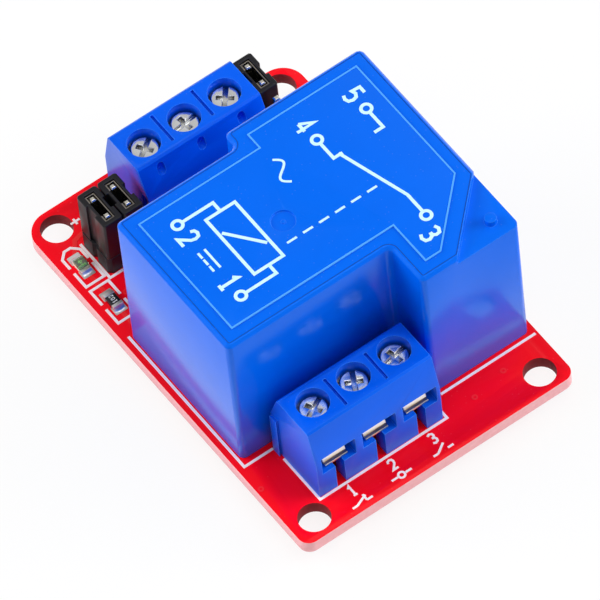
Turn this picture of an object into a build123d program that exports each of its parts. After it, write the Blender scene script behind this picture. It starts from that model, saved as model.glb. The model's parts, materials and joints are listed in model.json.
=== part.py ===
from build123d import *

import os
from math import atan, degrees, hypot

# Relay module board: a red circuit board with one power relay, two screw terminal blocks,
# two pin headers with jumper caps and a few surface-mount parts.
#
# Frame: millimetres, +Z up. X runs along the board's short side and Y along its long side.
# The origin is the middle of the board's plan, on the plane where the trimmed leads end,
# so the module stands on its leads. The output terminal faces -Y, the input terminal faces +Y.

# Circuit board
board_thickness = 1.6
lead_below_board = 1.9
near_corner_radius = 1.3
far_corner_radius = 2.7
mounting_hole_diameter = 3.5
mounting_inset_x = 2.8
mounting_inset_y = 2.45

# Leads, drilled holes and solder
drill_clearance = 0.12
solder_height = 1.15
solder_land = 0.62
solder_tip_land = 0.16
lead_gap = 0.03

# Relay: plan of the case, from its left front corner
relay_from_left = 1.1
relay_from_front = 7.1
relay_from_right = 0.6
stem_front_setback = 5.5
stem_back_setback = 2.1
bar_front_length = 12.2
bar_back_length = 17.2
case_wall = 1.1
case_roof = 1.5
case_corner_radius = 0.7
case_edge_chamfer = 0.35
corner_cut = 7.8
corner_drop = 0.9
vent_nib_diameter = 1.3
vent_nib_height = 0.75
vent_nib_inset = 2.1
panel_inset = 1.8
panel_rise = 0.12
dimple_diameter = 2.6
dimple_depth = 0.25
dimple_nub_diameter = 0.5
dimple_x = 13.5
dimple_y = 14.7

# Relay: base
base_thickness = 1.6
base_lift = 0.3
base_gap = 0.08

# Relay: magnet
seat_gap = 0.05
coil_to_wall = 1.7
coil_to_side = 1.05
coil_to_yoke = 1.2
yoke_thickness = 1.5
yoke_width = 11.0
yoke_pin_gap = 0.65
yoke_bend_radius = 0.9
yoke_edge_radius = 0.3
bobbin_height = 8.5
bobbin_flange = 0.9
bobbin_flange_length = 13.6
bobbin_flange_width = 15.4
bobbin_tube_wall = 0.7
winding_diameter = 12.2
core_diameter = 5.2
core_neck_diameter = 3.8
core_head_diameter = 8.0
core_head_height = 1.05
pole_gap = 0.95
armature_thickness = 1.3
armature_overhang = 1.0
armature_corner = 0.65

# Relay: contacts
blade_thickness = 0.5
blade_width = 5.0
blade_corner = 1.25
blade_rivet_diameter = 1.6
blade_rivet_height = 0.5
contact_from_common = 6.65
contact_to_open_strip = 1.9
contact_diameter = 3.2
contact_head = 0.65
closed_contact_gap = 0.02
open_contact_gap = 0.82
fixed_contact_height = 0.68
upper_contact_height = 0.4
strip_thickness = 0.8
strip_width = 4.0
contact_strip_margin = 0.2
open_terminal_wall_gap = 0.3
common_strip_height = 9.0
common_strip_width = 5.0
coil_pin_diameter = 0.7
coil_pin_inset = 0.8
coil_pin_spacing = 10.0
coil_pin_depth = 0.7

# Relay: return leaf between the common strip and the blade
leaf_thickness = 0.25
leaf_width = 4.0
leaf_joint_height = 2.4
leaf_bend_height = 1.6
leaf_step = 1.5
leaf_reach = 2.6
leaf_rivet_diameter = 1.2
leaf_rivet_gap = 0.2
roof_gap = 0.18

# Screw terminal blocks
poles = 3
pole_pitch = 5.08
pole_wall = 0.88
front_wall = 1.7
chamber_depth = 4.6
back_wall = 1.6
block_front_slope_start = 5.6
block_front_slope = 1.05
block_back_slope = 1.5
block_back_slope_start = 6.2
block_edge = 0.2
end_cheek = 0.25
window_sill = 3.6
window_lift = 0.1
entry_slot_width = 1.1
well_gap = 0.23
well_from_front = 3.95
groove_width = 0.35
groove_depth = 0.5
groove_front_gap = 0.6
groove_back_gap = 0.85
back_hole_width = 0.9
back_hole_height = 1.5
back_hole_depth = 0.7
back_hole_from_top = 1.3
rail_height = 0.3
rail_root = 0.8
rail_crest = 1.15
rail_gap = 0.06
output_to_relay_gap = 0.65
output_side_gap = 1.05
relay_to_input_gap = 6.35
input_from_back = 1.55
input_from_left = 10.1

# Clamp inside each pole: cage, guard and screw
cage_gap = 0.1
cage_wall = 0.4
cage_floor = 0.3
cage_nut = 0.8
cage_end_gap = 0.15
cage_roof_gap = 0.15
tongue_setback = 0.55
terminal_pin_side = 1.0
guard_side_gap = 0.2
guard_thickness = 0.3
guard_rest_lift = 0.05
guard_height = 0.6
guard_flap_setback = 0.9
guard_flap_run = 0.25
guard_back_gap = 0.35
guard_tab = 0.6
screw_shank_diameter = 2.5
thread_gap = 0.03
screw_head_diameter = 3.1
screw_head_height = 1.3
screw_sink = 1.0
screw_tip_gap = 0.02
screw_edge = 0.15
screw_slot_width = 0.55
screw_slot_depth = 0.5
screw_cross_length = 1.9
clamp_travel = 1.4
guard_roof_gap = 0.95
screw_turn_at_rest = [28.0, 63.0, 12.0, 50.0, 8.0, 35.0]

# Pin headers and jumper caps
header_pitch = 2.54
header_height = 2.5
header_corner = 0.4
pin_side = 0.64
pin_below_cap = 0.1
pin_point = 0.15
cap_end_gap = 0.04
cap_side_gap = 0.07
cap_height = 6.0
cap_waist_length = 1.5
cap_waist_depth = 0.3
cap_edge = 0.2
cap_top_edge = 0.1
clip_thickness = 0.15
clip_pin_gap = 0.1
clip_end_gap = 0.17
clip_slot_gap = 0.04
clip_return = 0.9
clip_height = 5.4
clip_sink = 0.2
selector_gap = 1.25
selector_from_block_back = 1.35
rear_header_gap = 0.05
rear_header_pins = 3
rear_header_from_block_back = 3.65
rear_header_from_right = 5.52

# Surface-mount parts
chip_length = 2.0
chip_width = 1.25
chip_height = 0.55
chip_cap_length = 0.4
chip_stand_off = 0.03
chip_body_inset = 0.03
led_base_height = 0.35
led_lens_height = 0.45
led_lens_length = 1.2
led_lens_round = 0.12
led_from_left = 2.1
led_ahead_of_selector = 0.3
led_to_resistor = 5.7
row_from_left = 9.3
row_gap = 0.4
coupler_length = 4.4
coupler_width = 3.8
coupler_height = 2.0
coupler_lead_pitch = 2.54
transistor_length = 2.9
transistor_width = 1.3
transistor_height = 1.0
transistor_lead_pitch = 0.95
diode_length = 4.3
diode_width = 2.6
diode_height = 2.1
small_lead_width = 0.4
coupler_lead_width = 0.6
diode_lead_width = 1.4
lead_thickness = 0.15
lead_foot = 0.55
lead_reach = 1.1
lead_lift = 0.4
body_stand_off = 0.1
body_draft = 0.12
row_chips = 2

# Levels in the relay, counted from the board's top
base_top = base_lift + base_thickness
yoke_bottom = base_top + seat_gap
yoke_top_of_foot = yoke_bottom + yoke_thickness
bobbin_bottom = yoke_top_of_foot + seat_gap
bobbin_top = bobbin_bottom + bobbin_height
pole_face = bobbin_top + seat_gap + core_head_height
armature_bottom = pole_face + pole_gap
armature_top = armature_bottom + armature_thickness
blade_bottom = armature_top
blade_top = blade_bottom + blade_thickness
leaf_top = blade_bottom - closed_contact_gap
closed_contact_z = blade_bottom - contact_head - closed_contact_gap
open_contact_z = blade_top + contact_head + open_contact_gap
relay_height = open_contact_z + upper_contact_height + strip_thickness + roof_gap + case_roof

# Places along the relay, from the case's left end
coil_x = case_wall + coil_to_wall + bobbin_flange_length / 2
coil_pin_x = case_wall + coil_to_wall + coil_pin_inset
pivot_x = coil_x + bobbin_flange_length / 2 + coil_to_yoke
yoke_back_x = pivot_x + yoke_thickness
common_back_x = yoke_back_x + seat_gap + strip_thickness
leaf_rivet_x = common_back_x + leaf_step + leaf_reach / 2
contact_x = common_back_x + contact_from_common
open_strip_x = contact_x + contact_diameter / 2 + contact_to_open_strip
relay_length = open_strip_x + strip_thickness + open_terminal_wall_gap + case_wall
stem_width = bobbin_flange_width + 2 * (coil_to_side + case_wall)
relay_width = stem_front_setback + stem_width + stem_back_setback
stem_middle = stem_front_setback + stem_width / 2
stem_front_length = relay_length - bar_front_length
stem_back_length = relay_length - bar_back_length

# Levels and places in a terminal block, counted from the board's top and the block's front
guard_bottom = window_sill + cage_floor + guard_rest_lift
guard_top = guard_bottom + guard_height
cage_nut_underside = guard_top + clamp_travel + guard_roof_gap
cage_roof = cage_nut_underside + cage_nut
screw_head_bottom = cage_roof + cage_gap
screw_head_top = screw_head_bottom + screw_head_height
block_height = screw_head_top + screw_sink
chamber_height = cage_roof + cage_roof_gap
window_top = guard_top + clamp_travel + window_lift
chamber_back = front_wall + chamber_depth
block_depth = chamber_back + back_wall
block_width = poles * pole_pitch
chamber_width = pole_pitch - pole_wall
cage_width = chamber_width - 2 * cage_gap
cage_inside = cage_width - 2 * cage_wall
guard_width = cage_inside - 2 * guard_side_gap
well_diameter = screw_head_diameter + 2 * well_gap

# Headers and caps
cap_length = 2 * (header_pitch - cap_end_gap)
cap_width = header_pitch - 2 * cap_side_gap
pin_above_header = cap_height - pin_below_cap
clip_half_width = pin_side / 2 + clip_pin_gap + clip_thickness
clip_half_length = (header_pitch + pin_side) / 2 + clip_end_gap + clip_thickness
rear_header_reach = end_cheek + rail_height + rear_header_gap + header_pitch

# The board and where the large parts stand on it
board_bottom = lead_below_board
board_top = board_bottom + board_thickness
relay_row_width = relay_from_left + relay_length + relay_from_right
input_row_width = input_from_left + block_width + rear_header_reach + rear_header_from_right
board_width = max(relay_row_width, input_row_width)
board_length = relay_from_front + relay_width + relay_to_input_gap + block_depth + input_from_back
left_edge = -board_width / 2
front_edge = -board_length / 2
back_edge = board_length / 2
relay_x = left_edge + relay_from_left
relay_y = front_edge + relay_from_front
output_right = relay_x + stem_front_length - output_side_gap
output_front = relay_y + stem_front_setback - output_to_relay_gap - block_depth
input_left = left_edge + input_from_left
input_back = back_edge - input_from_back


def on_relay(part):
    """Place a piece drawn from the relay's left front corner, with z counted from the board's top."""
    return Pos(relay_x, relay_y, board_top) * part


def on_board(x, y, part):
    """Place a piece that stands on the board at x, y."""
    return Pos(x, y, board_top) * part


def flat(points, z=0.0, height=1.0):
    """A plate with the given outline, from z up to z + height."""
    face = make_face(Polyline(*points, close=True))
    return Pos(0, 0, z) * extrude(face, amount=height)


def profile_along_x(points, x, width):
    """A strip whose side view (y, z) is given, centred on x."""
    face = make_face(Polyline(*points, close=True))
    return Pos(x - width / 2, 0, 0) * extrude(Plane.YZ * face, amount=width)


def profile_along_y(points, y, width):
    """A strip whose front view (x, z) is given, centred on y."""
    face = make_face(Polyline(*points, close=True))
    return Pos(0, y + width / 2, 0) * extrude(Plane.XZ * face, amount=width)


def bar(x, y, z, size_x, size_y, size_z):
    """A straight block centred on x, y with its underside at z."""
    return Pos(x, y, z) * Box(size_x, size_y, size_z, align=(Align.CENTER, Align.CENTER, Align.MIN))


def disc(x, y, z, diameter, height):
    """A round block centred on x, y with its underside at z."""
    return Pos(x, y, z) * Cylinder(diameter / 2, height, align=(Align.CENTER, Align.CENTER, Align.MIN))


# Where every lead goes through the board


def terminal_lead_places():
    """Centre of each terminal pin: the output block's poles, then the input block's."""
    output_y = output_front + well_from_front
    input_y = input_back - well_from_front
    places = []
    for pole in range(poles):
        places.append((output_right - block_width + (pole + 0.5) * pole_pitch, output_y))
    for pole in range(poles):
        places.append((input_left + (pole + 0.5) * pole_pitch, input_y))
    return places


def selector_places():
    """Pins of the two-by-two header, left column first, front row first."""
    centre_x = input_left - selector_gap - header_pitch
    centre_y = input_back - block_depth + selector_from_block_back
    half = header_pitch / 2
    return [(centre_x + i * half, centre_y + j * half) for i in (-1, 1) for j in (-1, 1)]


def rear_header_places():
    """Pins of the single-row header beside the input block, from the back edge to the front."""
    x = input_left + block_width + rear_header_reach - header_pitch / 2
    centre_y = input_back - block_depth + rear_header_from_block_back
    middle = (rear_header_pins - 1) / 2
    return [(x, centre_y + (middle - i) * header_pitch) for i in range(rear_header_pins)]


def coil_pin_places():
    """Two round coil pins under the bobbin's outer flange."""
    return [(relay_x + coil_pin_x, relay_y + stem_middle + s * coil_pin_spacing / 2) for s in (-1, 1)]


def relay_strip_places():
    """Common, normally closed and normally open strips: centre x, centre y and width along Y."""
    y = relay_y + stem_middle
    common_x = relay_x + common_back_x - strip_thickness / 2
    closed_x = relay_x + contact_x - contact_diameter / 2 - contact_strip_margin - strip_thickness / 2
    open_x = relay_x + open_strip_x + strip_thickness / 2
    return [(common_x, y, common_strip_width), (closed_x, y, strip_width), (open_x, y, strip_width)]


def round_leads():
    """Every round lead as x, y, diameter."""
    return [(x, y, coil_pin_diameter) for x, y in coil_pin_places()]


def square_leads():
    """Every square or flat lead as x, y, size along X, size along Y."""
    leads = [(x, y, pin_side, pin_side) for x, y in selector_places() + rear_header_places()]
    leads += [(x, y, terminal_pin_side, terminal_pin_side) for x, y in terminal_lead_places()]
    return leads + [(x, y, strip_thickness, width) for x, y, width in relay_strip_places()]


# Circuit board and solder


def mounting_places():
    x = board_width / 2 - mounting_inset_x
    y = board_length / 2 - mounting_inset_y
    return [(sx * x, sy * y) for sx in (-1, 1) for sy in (-1, 1)]


def circuit_board():
    outline = Rectangle(board_width, board_length)
    outline = fillet(outline.vertices().group_by(Axis.Y)[0], near_corner_radius)
    outline = fillet(outline.vertices().group_by(Axis.Y)[-1], far_corner_radius)
    for x, y in mounting_places():
        outline -= Pos(x, y) * Circle(mounting_hole_diameter / 2)
    for x, y, diameter in round_leads():
        outline -= Pos(x, y) * Circle(diameter / 2 + drill_clearance)
    for x, y, size_x, size_y in square_leads():
        outline -= Pos(x, y) * Rectangle(size_x + 2 * drill_clearance, size_y + 2 * drill_clearance)
    return Pos(0, 0, board_bottom) * extrude(outline, amount=board_thickness)


def solder_joints():
    """One cone of solder round each lead, against the board's underside."""
    joints = []
    height = solder_height
    centre = board_bottom - height / 2
    draft = degrees(atan((solder_land - solder_tip_land) / height))
    for x, y, diameter in round_leads():
        wide = diameter / 2 + solder_land
        cone = Cone(diameter / 2 + solder_tip_land, wide, height)
        hole = Cylinder(diameter / 2 + lead_gap, height)
        joints.append(Pos(x, y, centre) * (cone - hole))
    for x, y, size_x, size_y in square_leads():
        top = Rectangle(size_x + 2 * solder_land, size_y + 2 * solder_land)
        mound = Pos(0, 0, height / 2) * extrude(top, amount=height, dir=(0, 0, -1), taper=draft)
        hole = Box(size_x + 2 * lead_gap, size_y + 2 * lead_gap, height)
        joints.append(Pos(x, y, centre) * (mound - hole))
    return Compound(joints)


# Relay case and base


def relay_points(corner=0.0):
    """Plan of the relay from its left front corner, with the right front corner cut if asked."""
    stem_back = relay_width - stem_back_setback
    points = [(0, stem_front_setback), (stem_front_length, stem_front_setback), (stem_front_length, 0)]
    if corner:
        points += [(relay_length - corner, 0), (relay_length, corner)]
    else:
        points += [(relay_length, 0)]
    points += [(relay_length, relay_width), (stem_back_length, relay_width)]
    return points + [(stem_back_length, stem_back), (0, stem_back)]


def relay_plan(inset=0.0, corner=0.0, radius=0.0):
    face = make_face(Polyline(*relay_points(corner), close=True))
    if inset:
        face = offset(face, amount=-inset, kind=Kind.INTERSECTION)
    if radius:
        face = fillet(face.vertices(), radius)
    return face


def relay_case():
    """Moulded cover, open below, with a dropped front corner, a raised panel and a vent nib."""
    shell = extrude(relay_plan(radius=case_corner_radius), amount=relay_height)
    shell = chamfer(shell.edges().group_by(Axis.Z)[-1], case_edge_chamfer)
    cavity = extrude(relay_plan(case_wall), amount=relay_height - case_roof)
    shell -= cavity
    reach = corner_cut + case_corner_radius
    corner = [
        (relay_length - corner_cut, 0),
        (relay_length - corner_cut - case_corner_radius, -case_corner_radius),
        (relay_length + case_corner_radius, -case_corner_radius),
        (relay_length + case_corner_radius, reach),
        (relay_length, corner_cut),
    ]
    shell -= flat(corner, relay_height - corner_drop, corner_drop + panel_rise)
    nib_x = relay_length - vent_nib_inset
    shelf = relay_height - corner_drop
    shell += disc(nib_x, vent_nib_inset, shelf, vent_nib_diameter, vent_nib_height)
    panel = extrude(relay_plan(panel_inset, corner_cut), amount=panel_rise)
    shell += Pos(0, 0, relay_height) * panel
    top = relay_height + panel_rise
    shell -= disc(dimple_x, dimple_y, top - dimple_depth, dimple_diameter, dimple_depth)
    shell += disc(dimple_x, dimple_y, top - dimple_depth, dimple_nub_diameter, dimple_depth / 2)
    return on_relay(shell)


def relay_base():
    """Moulded base that closes the case from below, slotted for the leads."""
    plan = relay_plan(case_wall + base_gap)
    base = on_relay(Pos(0, 0, base_lift) * extrude(plan, amount=base_thickness))
    middle = board_top + base_lift + base_thickness / 2
    for x, y in coil_pin_places():
        base -= Pos(x, y, middle) * Cylinder(coil_pin_diameter / 2 + lead_gap, base_thickness)
    for x, y, width in relay_strip_places():
        slot = Box(strip_thickness + 2 * lead_gap, width + 2 * lead_gap, base_thickness)
        base -= Pos(x, y, middle) * slot
    return base


# Relay magnet


def yoke():
    """Bent iron bracket: a foot under the coil and a back plate that carries the armature."""
    foot_top = yoke_top_of_foot
    foot_start = coil_pin_x + coil_pin_diameter / 2 + yoke_pin_gap
    points = [
        (foot_start, yoke_bottom),
        (yoke_back_x, yoke_bottom),
        (yoke_back_x, armature_bottom - seat_gap),
        (pivot_x, armature_bottom - seat_gap),
        (pivot_x, foot_top),
        (foot_start, foot_top),
    ]
    bracket = profile_along_y(points, stem_middle, yoke_width)
    ends = bracket.edges().filter_by(Axis.Y)
    outer_bend = ends.group_by(Axis.Z)[0].sort_by(Axis.X)[-1]
    rocking_edge = ends.group_by(Axis.Z)[-1].sort_by(Axis.X)[0]
    bracket = fillet(outer_bend, yoke_bend_radius)
    bracket = fillet(bracket.edges().sort_by_distance(rocking_edge.center())[0], yoke_edge_radius)
    neck = disc(coil_x, stem_middle, yoke_bottom, core_neck_diameter + 2 * lead_gap, yoke_thickness)
    return on_relay(bracket - neck)


def core():
    """Turned iron core: neck staked in the yoke, shaft in the bobbin, wide pole face on top."""
    neck = disc(coil_x, stem_middle, yoke_bottom, core_neck_diameter, yoke_thickness)
    shaft_bottom = yoke_top_of_foot
    shaft = disc(coil_x, stem_middle, shaft_bottom, core_diameter, bobbin_top + seat_gap - shaft_bottom)
    head = disc(coil_x, stem_middle, bobbin_top + seat_gap, core_head_diameter, core_head_height)
    return on_relay(neck + shaft + head)


def bobbin():
    """Moulded bobbin: two flanges on a tube, with holes for the coil pins."""
    flange = Box(bobbin_flange_length, bobbin_flange_width, bobbin_flange,
                 align=(Align.CENTER, Align.CENTER, Align.MIN))
    flange = chamfer(flange.edges().filter_by(Axis.Z), bobbin_flange)
    tube_radius = core_diameter / 2 + seat_gap + bobbin_tube_wall
    spool = Pos(coil_x, stem_middle, bobbin_bottom) * flange
    spool += Pos(coil_x, stem_middle, bobbin_top - bobbin_flange) * flange
    spool += disc(coil_x, stem_middle, bobbin_bottom, 2 * tube_radius, bobbin_height)
    spool -= disc(coil_x, stem_middle, bobbin_bottom, core_diameter + 2 * seat_gap, bobbin_height)
    for x, y in coil_pin_places():
        spool -= disc(x - relay_x, y - relay_y, bobbin_bottom, coil_pin_diameter, coil_pin_depth)
    return on_relay(spool)


def coil_winding():
    """The copper wire on the bobbin, as one wound sleeve."""
    bottom = bobbin_bottom + bobbin_flange + seat_gap
    height = bobbin_height - 2 * bobbin_flange - 2 * seat_gap
    inner = core_diameter + 2 * (seat_gap + bobbin_tube_wall + seat_gap)
    sleeve = disc(coil_x, stem_middle, bottom, winding_diameter, height)
    return on_relay(sleeve - disc(coil_x, stem_middle, bottom, inner, height))


def coil_pins():
    top = board_top + bobbin_bottom + coil_pin_depth
    return Compound([disc(x, y, 0, coil_pin_diameter, top) for x, y in coil_pin_places()])


def armature():
    """Iron plate that rocks on the yoke's inner edge and is pulled down to the core."""
    left = coil_x - core_head_diameter / 2 - armature_overhang
    right = yoke_back_x + armature_overhang
    plate = bar((left + right) / 2, stem_middle, armature_bottom, right - left, yoke_width, armature_thickness)
    plate = chamfer(plate.edges().filter_by(Axis.Z), armature_corner)
    return on_relay(plate)


# Relay contacts


def contact_blade():
    """Copper blade riveted on the armature, carrying the moving contact at its free end."""
    left = coil_x - blade_width / 2
    right = contact_x + contact_diameter / 2
    blade = bar((left + right) / 2, stem_middle, blade_bottom, right - left, blade_width, blade_thickness)
    blade = chamfer(blade.edges().filter_by(Axis.Z), blade_corner)
    blade -= disc(contact_x, stem_middle, blade_bottom, contact_diameter / 2, blade_thickness)
    for x in (coil_x, pivot_x - blade_rivet_diameter):
        blade += disc(x, stem_middle, blade_top, blade_rivet_diameter, blade_rivet_height)
    nub_bottom = leaf_top - leaf_thickness
    blade += disc(leaf_rivet_x, stem_middle, nub_bottom, leaf_rivet_diameter, blade_bottom - nub_bottom)
    return on_relay(blade)


def moving_contact():
    """Double-headed silver rivet in the blade."""
    rivet = disc(contact_x, stem_middle, blade_bottom - contact_head, contact_diameter, contact_head)
    rivet += disc(contact_x, stem_middle, blade_bottom, contact_diameter / 2, blade_thickness)
    rivet += disc(contact_x, stem_middle, blade_top, contact_diameter, contact_head)
    return on_relay(rivet)


def fixed_contacts():
    """The two silver heads that the moving contact meets, one below it and one above."""
    lower = disc(contact_x, stem_middle, closed_contact_z - fixed_contact_height, contact_diameter,
                 fixed_contact_height)
    upper = disc(contact_x, stem_middle, open_contact_z, contact_diameter, upper_contact_height)
    return on_relay(Compound([lower, upper]))


def bent_strip(foot_x, top_z, far_x, width):
    """A flat strip that rises from the lead's end and bends over towards far_x at its top."""
    half = strip_thickness / 2
    side = 1 if far_x > foot_x else -1
    foot = -board_top
    points = [
        (foot_x - side * half, foot),
        (foot_x + side * half, foot),
        (foot_x + side * half, top_z - strip_thickness),
        (far_x, top_z - strip_thickness),
        (far_x, top_z),
        (foot_x - side * half, top_z),
    ]
    return on_relay(profile_along_y(points, stem_middle, width))


def normally_closed_terminal():
    foot_x = relay_strip_places()[1][0] - relay_x
    top = closed_contact_z - fixed_contact_height
    far_x = contact_x + contact_diameter / 2 + contact_strip_margin
    return bent_strip(foot_x, top, far_x, strip_width)


def normally_open_terminal():
    foot_x = relay_strip_places()[2][0] - relay_x
    top = open_contact_z + upper_contact_height + strip_thickness
    far_x = contact_x - contact_diameter / 2 - contact_strip_margin
    return bent_strip(foot_x, top, far_x, strip_width)


def common_terminal():
    x, y, width = relay_strip_places()[0]
    tab = bar(x, y, 0, strip_thickness, width, board_top + common_strip_height)
    return chamfer(tab.edges().group_by(Axis.Z)[-1].filter_by(Axis.X), strip_thickness)


def return_leaf():
    """Thin leaf riveted to the common strip and to the blade: it holds the armature on the yoke's edge,
    pulls the blade down when the coil is off and carries the current to it."""
    top = leaf_top
    under = top - leaf_thickness
    inner = common_back_x + seat_gap
    outer = inner + leaf_thickness
    foot = common_strip_height - leaf_joint_height
    knee = under - leaf_bend_height
    end = leaf_rivet_x + leaf_reach / 2
    start = leaf_rivet_x - leaf_reach / 2
    points = [
        (inner, foot),
        (outer, foot),
        (outer, knee),
        (start + leaf_thickness, under),
        (end, under),
        (end, top),
        (start, top),
        (inner, knee),
    ]
    leaf = profile_along_y(points, stem_middle, leaf_width)
    hole = leaf_rivet_diameter + 2 * leaf_rivet_gap
    leaf -= disc(leaf_rivet_x, stem_middle, under, hole, leaf_thickness)
    return on_relay(leaf)


# Screw terminal blocks, drawn from the left front foot with the wire entries facing -Y


def block_profile():
    """Side view of the moulded housing."""
    return [
        (0, 0),
        (0, block_front_slope_start),
        (block_front_slope, block_height),
        (block_depth - block_back_slope, block_height),
        (block_depth, block_back_slope_start),
        (block_depth, 0),
    ]


def block_housing():
    """Blue moulding: one chamber, wire window, entry slot and screw well for each pole."""
    housing = profile_along_x(block_profile(), (block_width - end_cheek) / 2, block_width + end_cheek)
    rims = housing.edges().filter_by(Axis.X)
    housing = chamfer([e for e in rims if e.center().Z > block_back_slope_start], block_edge)
    well = Cylinder(well_diameter / 2, block_height)
    for pole in range(poles):
        x = (pole + 0.5) * pole_pitch
        chamber_middle = front_wall + chamber_depth / 2
        housing -= bar(x, chamber_middle, 0, chamber_width, chamber_depth, chamber_height)
        window_height = window_top - window_sill
        housing -= bar(x, front_wall / 2, window_sill, chamber_width, front_wall, window_height)
        housing -= bar(x, front_wall / 2, 0, entry_slot_width, front_wall, window_sill)
        housing -= Pos(x, well_from_front, block_height) * well
        housing -= back_hole(x)
    groove_start = block_front_slope + groove_front_gap
    groove_end = block_depth - block_back_slope - groove_back_gap
    for gap in range(1, poles):
        groove_y = (groove_start + groove_end) / 2
        groove_z = block_height - groove_depth
        length = groove_end - groove_start
        housing -= bar(gap * pole_pitch, groove_y, groove_z, groove_width, length, groove_depth)
    housing += dovetail(-end_cheek, 0)
    return housing - dovetail(block_width, rail_gap)


def back_hole(x):
    """Blind oval hole in the sloping back, behind each screw well."""
    z = block_height - back_hole_from_top
    slope = block_back_slope / (block_height - block_back_slope_start)
    run = slope * max(0, z - block_back_slope_start)
    oval = SlotOverall(back_hole_height, back_hole_width, rotation=90)
    return Pos(x, block_depth, z) * extrude(Plane.XZ * oval, amount=run + back_hole_depth)


def dovetail(x, gap):
    """Upright rail with a dovetail plan that grows to the left of x; with a gap it cuts the matching groove."""
    middle = chamber_back + back_wall / 2
    root = rail_root / 2 + gap
    crest = rail_crest / 2 + gap
    height = rail_height + gap
    points = [(x, middle - root), (x - height, middle - crest), (x - height, middle + crest), (x, middle + root)]
    return flat(points, 0, block_back_slope_start + gap)


def cage(x):
    """Bent brass cage with a threaded roof, a tongue under the wire and the solder pin."""
    length = chamber_depth - 2 * cage_end_gap
    middle = front_wall + chamber_depth / 2
    floor_top = window_sill + cage_floor
    tube = bar(x, middle, window_sill, cage_width, length, cage_roof - window_sill)
    tube -= bar(x, middle, floor_top, cage_inside, length, cage_nut_underside - floor_top)
    thread = screw_shank_diameter + 2 * thread_gap
    tube -= disc(x, well_from_front, cage_nut_underside, thread, cage_nut)
    tongue_end = front_wall + cage_end_gap
    tongue_length = tongue_end - tongue_setback
    tongue_y = tongue_setback + tongue_length / 2
    tube += bar(x, tongue_y, window_sill, guard_width, tongue_length, cage_floor)
    pin_length = window_sill + board_top
    return tube + bar(x, well_from_front, -board_top, terminal_pin_side, terminal_pin_side, pin_length)


def wire_guard(x):
    """Bent leaf under the screw tip, with a sloping flap that shuts the wire window."""
    flap_top = guard_flap_setback + guard_flap_run
    flap_depth = guard_thickness * hypot(guard_flap_run, guard_height) / guard_height
    back = chamber_back - guard_back_gap
    under = guard_top - guard_thickness
    points = [
        (guard_flap_setback, guard_bottom),
        (flap_top, guard_top),
        (back, guard_top),
        (back, guard_top - guard_tab),
        (back - guard_thickness, guard_top - guard_tab),
        (back - guard_thickness, under),
        (flap_top + flap_depth / 2, under),
        (guard_flap_setback + flap_depth, guard_bottom),
    ]
    return profile_along_x(points, x, guard_width)


def clamp_screw(x, turn):
    """Cheese-head screw with a slot and a short cross, its tip just over the guard."""
    head = disc(0, 0, screw_head_bottom, screw_head_diameter, screw_head_height)
    head = chamfer(head.edges().group_by(Axis.Z)[-1], screw_edge)
    recess_z = screw_head_top - screw_slot_depth
    head -= bar(0, 0, recess_z, screw_head_diameter + screw_edge, screw_slot_width, screw_slot_depth)
    head -= bar(0, 0, recess_z, screw_slot_width, screw_cross_length, screw_slot_depth)
    tip = guard_top + screw_tip_gap
    shank = disc(0, 0, tip, screw_shank_diameter, screw_head_bottom - tip)
    return Pos(x, well_from_front, 0) * Rot(0, 0, turn) * (head + shank)


def place_output(part):
    return Pos(output_right - block_width, output_front, board_top) * part


def place_input(part):
    return Pos(input_left + block_width, input_back, board_top) * Rot(0, 0, 180) * part


def terminal_block(name, place, turns):
    """Housing, cages, guards and screws of one block, poles numbered from the left seen from its front."""
    pieces = {f"{name}_housing": place(block_housing())}
    for pole in range(poles):
        x = (pole + 0.5) * pole_pitch
        number = pole + 1
        pieces[f"{name}_cage_{number}"] = place(cage(x))
        pieces[f"{name}_guard_{number}"] = place(wire_guard(x))
        pieces[f"{name}_screw_{number}"] = place(clamp_screw(x, turns[pole % len(turns)]))
    return pieces


# Pin headers and jumper caps


def header_body(places):
    """Black moulding with a chamfered cell round each pin."""
    cell = chamfer(Rectangle(header_pitch, header_pitch).vertices(), header_corner)
    hole = Rectangle(pin_side + lead_gap, pin_side + lead_gap)
    plan = Sketch()
    for x, y in places:
        plan += Pos(x, y) * cell
    for x, y in places:
        plan -= Pos(x, y) * hole
    return Pos(0, 0, board_top) * extrude(plan, amount=header_height)


def header_pins(places):
    top = board_top + header_height + pin_above_header
    pin = Box(pin_side, pin_side, top, align=(Align.CENTER, Align.CENTER, Align.MIN))
    pin = chamfer(pin.edges().group_by(Axis.Z)[-1], pin_point)
    return Compound([Pos(x, y, 0) * pin for x, y in places])


def jumper_cap(x, y):
    """Open-topped cap with a narrow waist between its two pins."""
    plan = chamfer(Rectangle(cap_width, cap_length).vertices(), cap_edge)
    waist = Rectangle(cap_waist_depth * 2, cap_waist_length)
    for side in (-1, 1):
        plan -= Pos(side * cap_width / 2, 0) * waist
    body = extrude(plan, amount=cap_height)
    body = chamfer(body.edges().group_by(Axis.Z)[-1], cap_top_edge)
    slot_width = 2 * (clip_half_width + clip_slot_gap)
    slot_length = 2 * (clip_half_length + clip_slot_gap)
    body -= bar(0, 0, 0, slot_width, slot_length, cap_height)
    return on_board(x, y, Pos(0, 0, header_height) * body)


def jumper_clip(x, y):
    """Bent spring sheet in the cap: one long side, wrapped ends and two short returns."""
    inside_width = clip_half_width - clip_thickness
    outer = Rectangle(2 * clip_half_width, 2 * clip_half_length)
    inner = Rectangle(2 * inside_width, 2 * (clip_half_length - clip_thickness))
    opening = Rectangle(2 * inside_width, 2 * (clip_half_length - clip_return))
    plan = outer - inner - Pos(-inside_width, 0) * opening
    lift = header_height + cap_height - clip_height - clip_sink
    return on_board(x, y, Pos(0, 0, lift) * extrude(plan, amount=clip_height))


# Surface-mount parts


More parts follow.
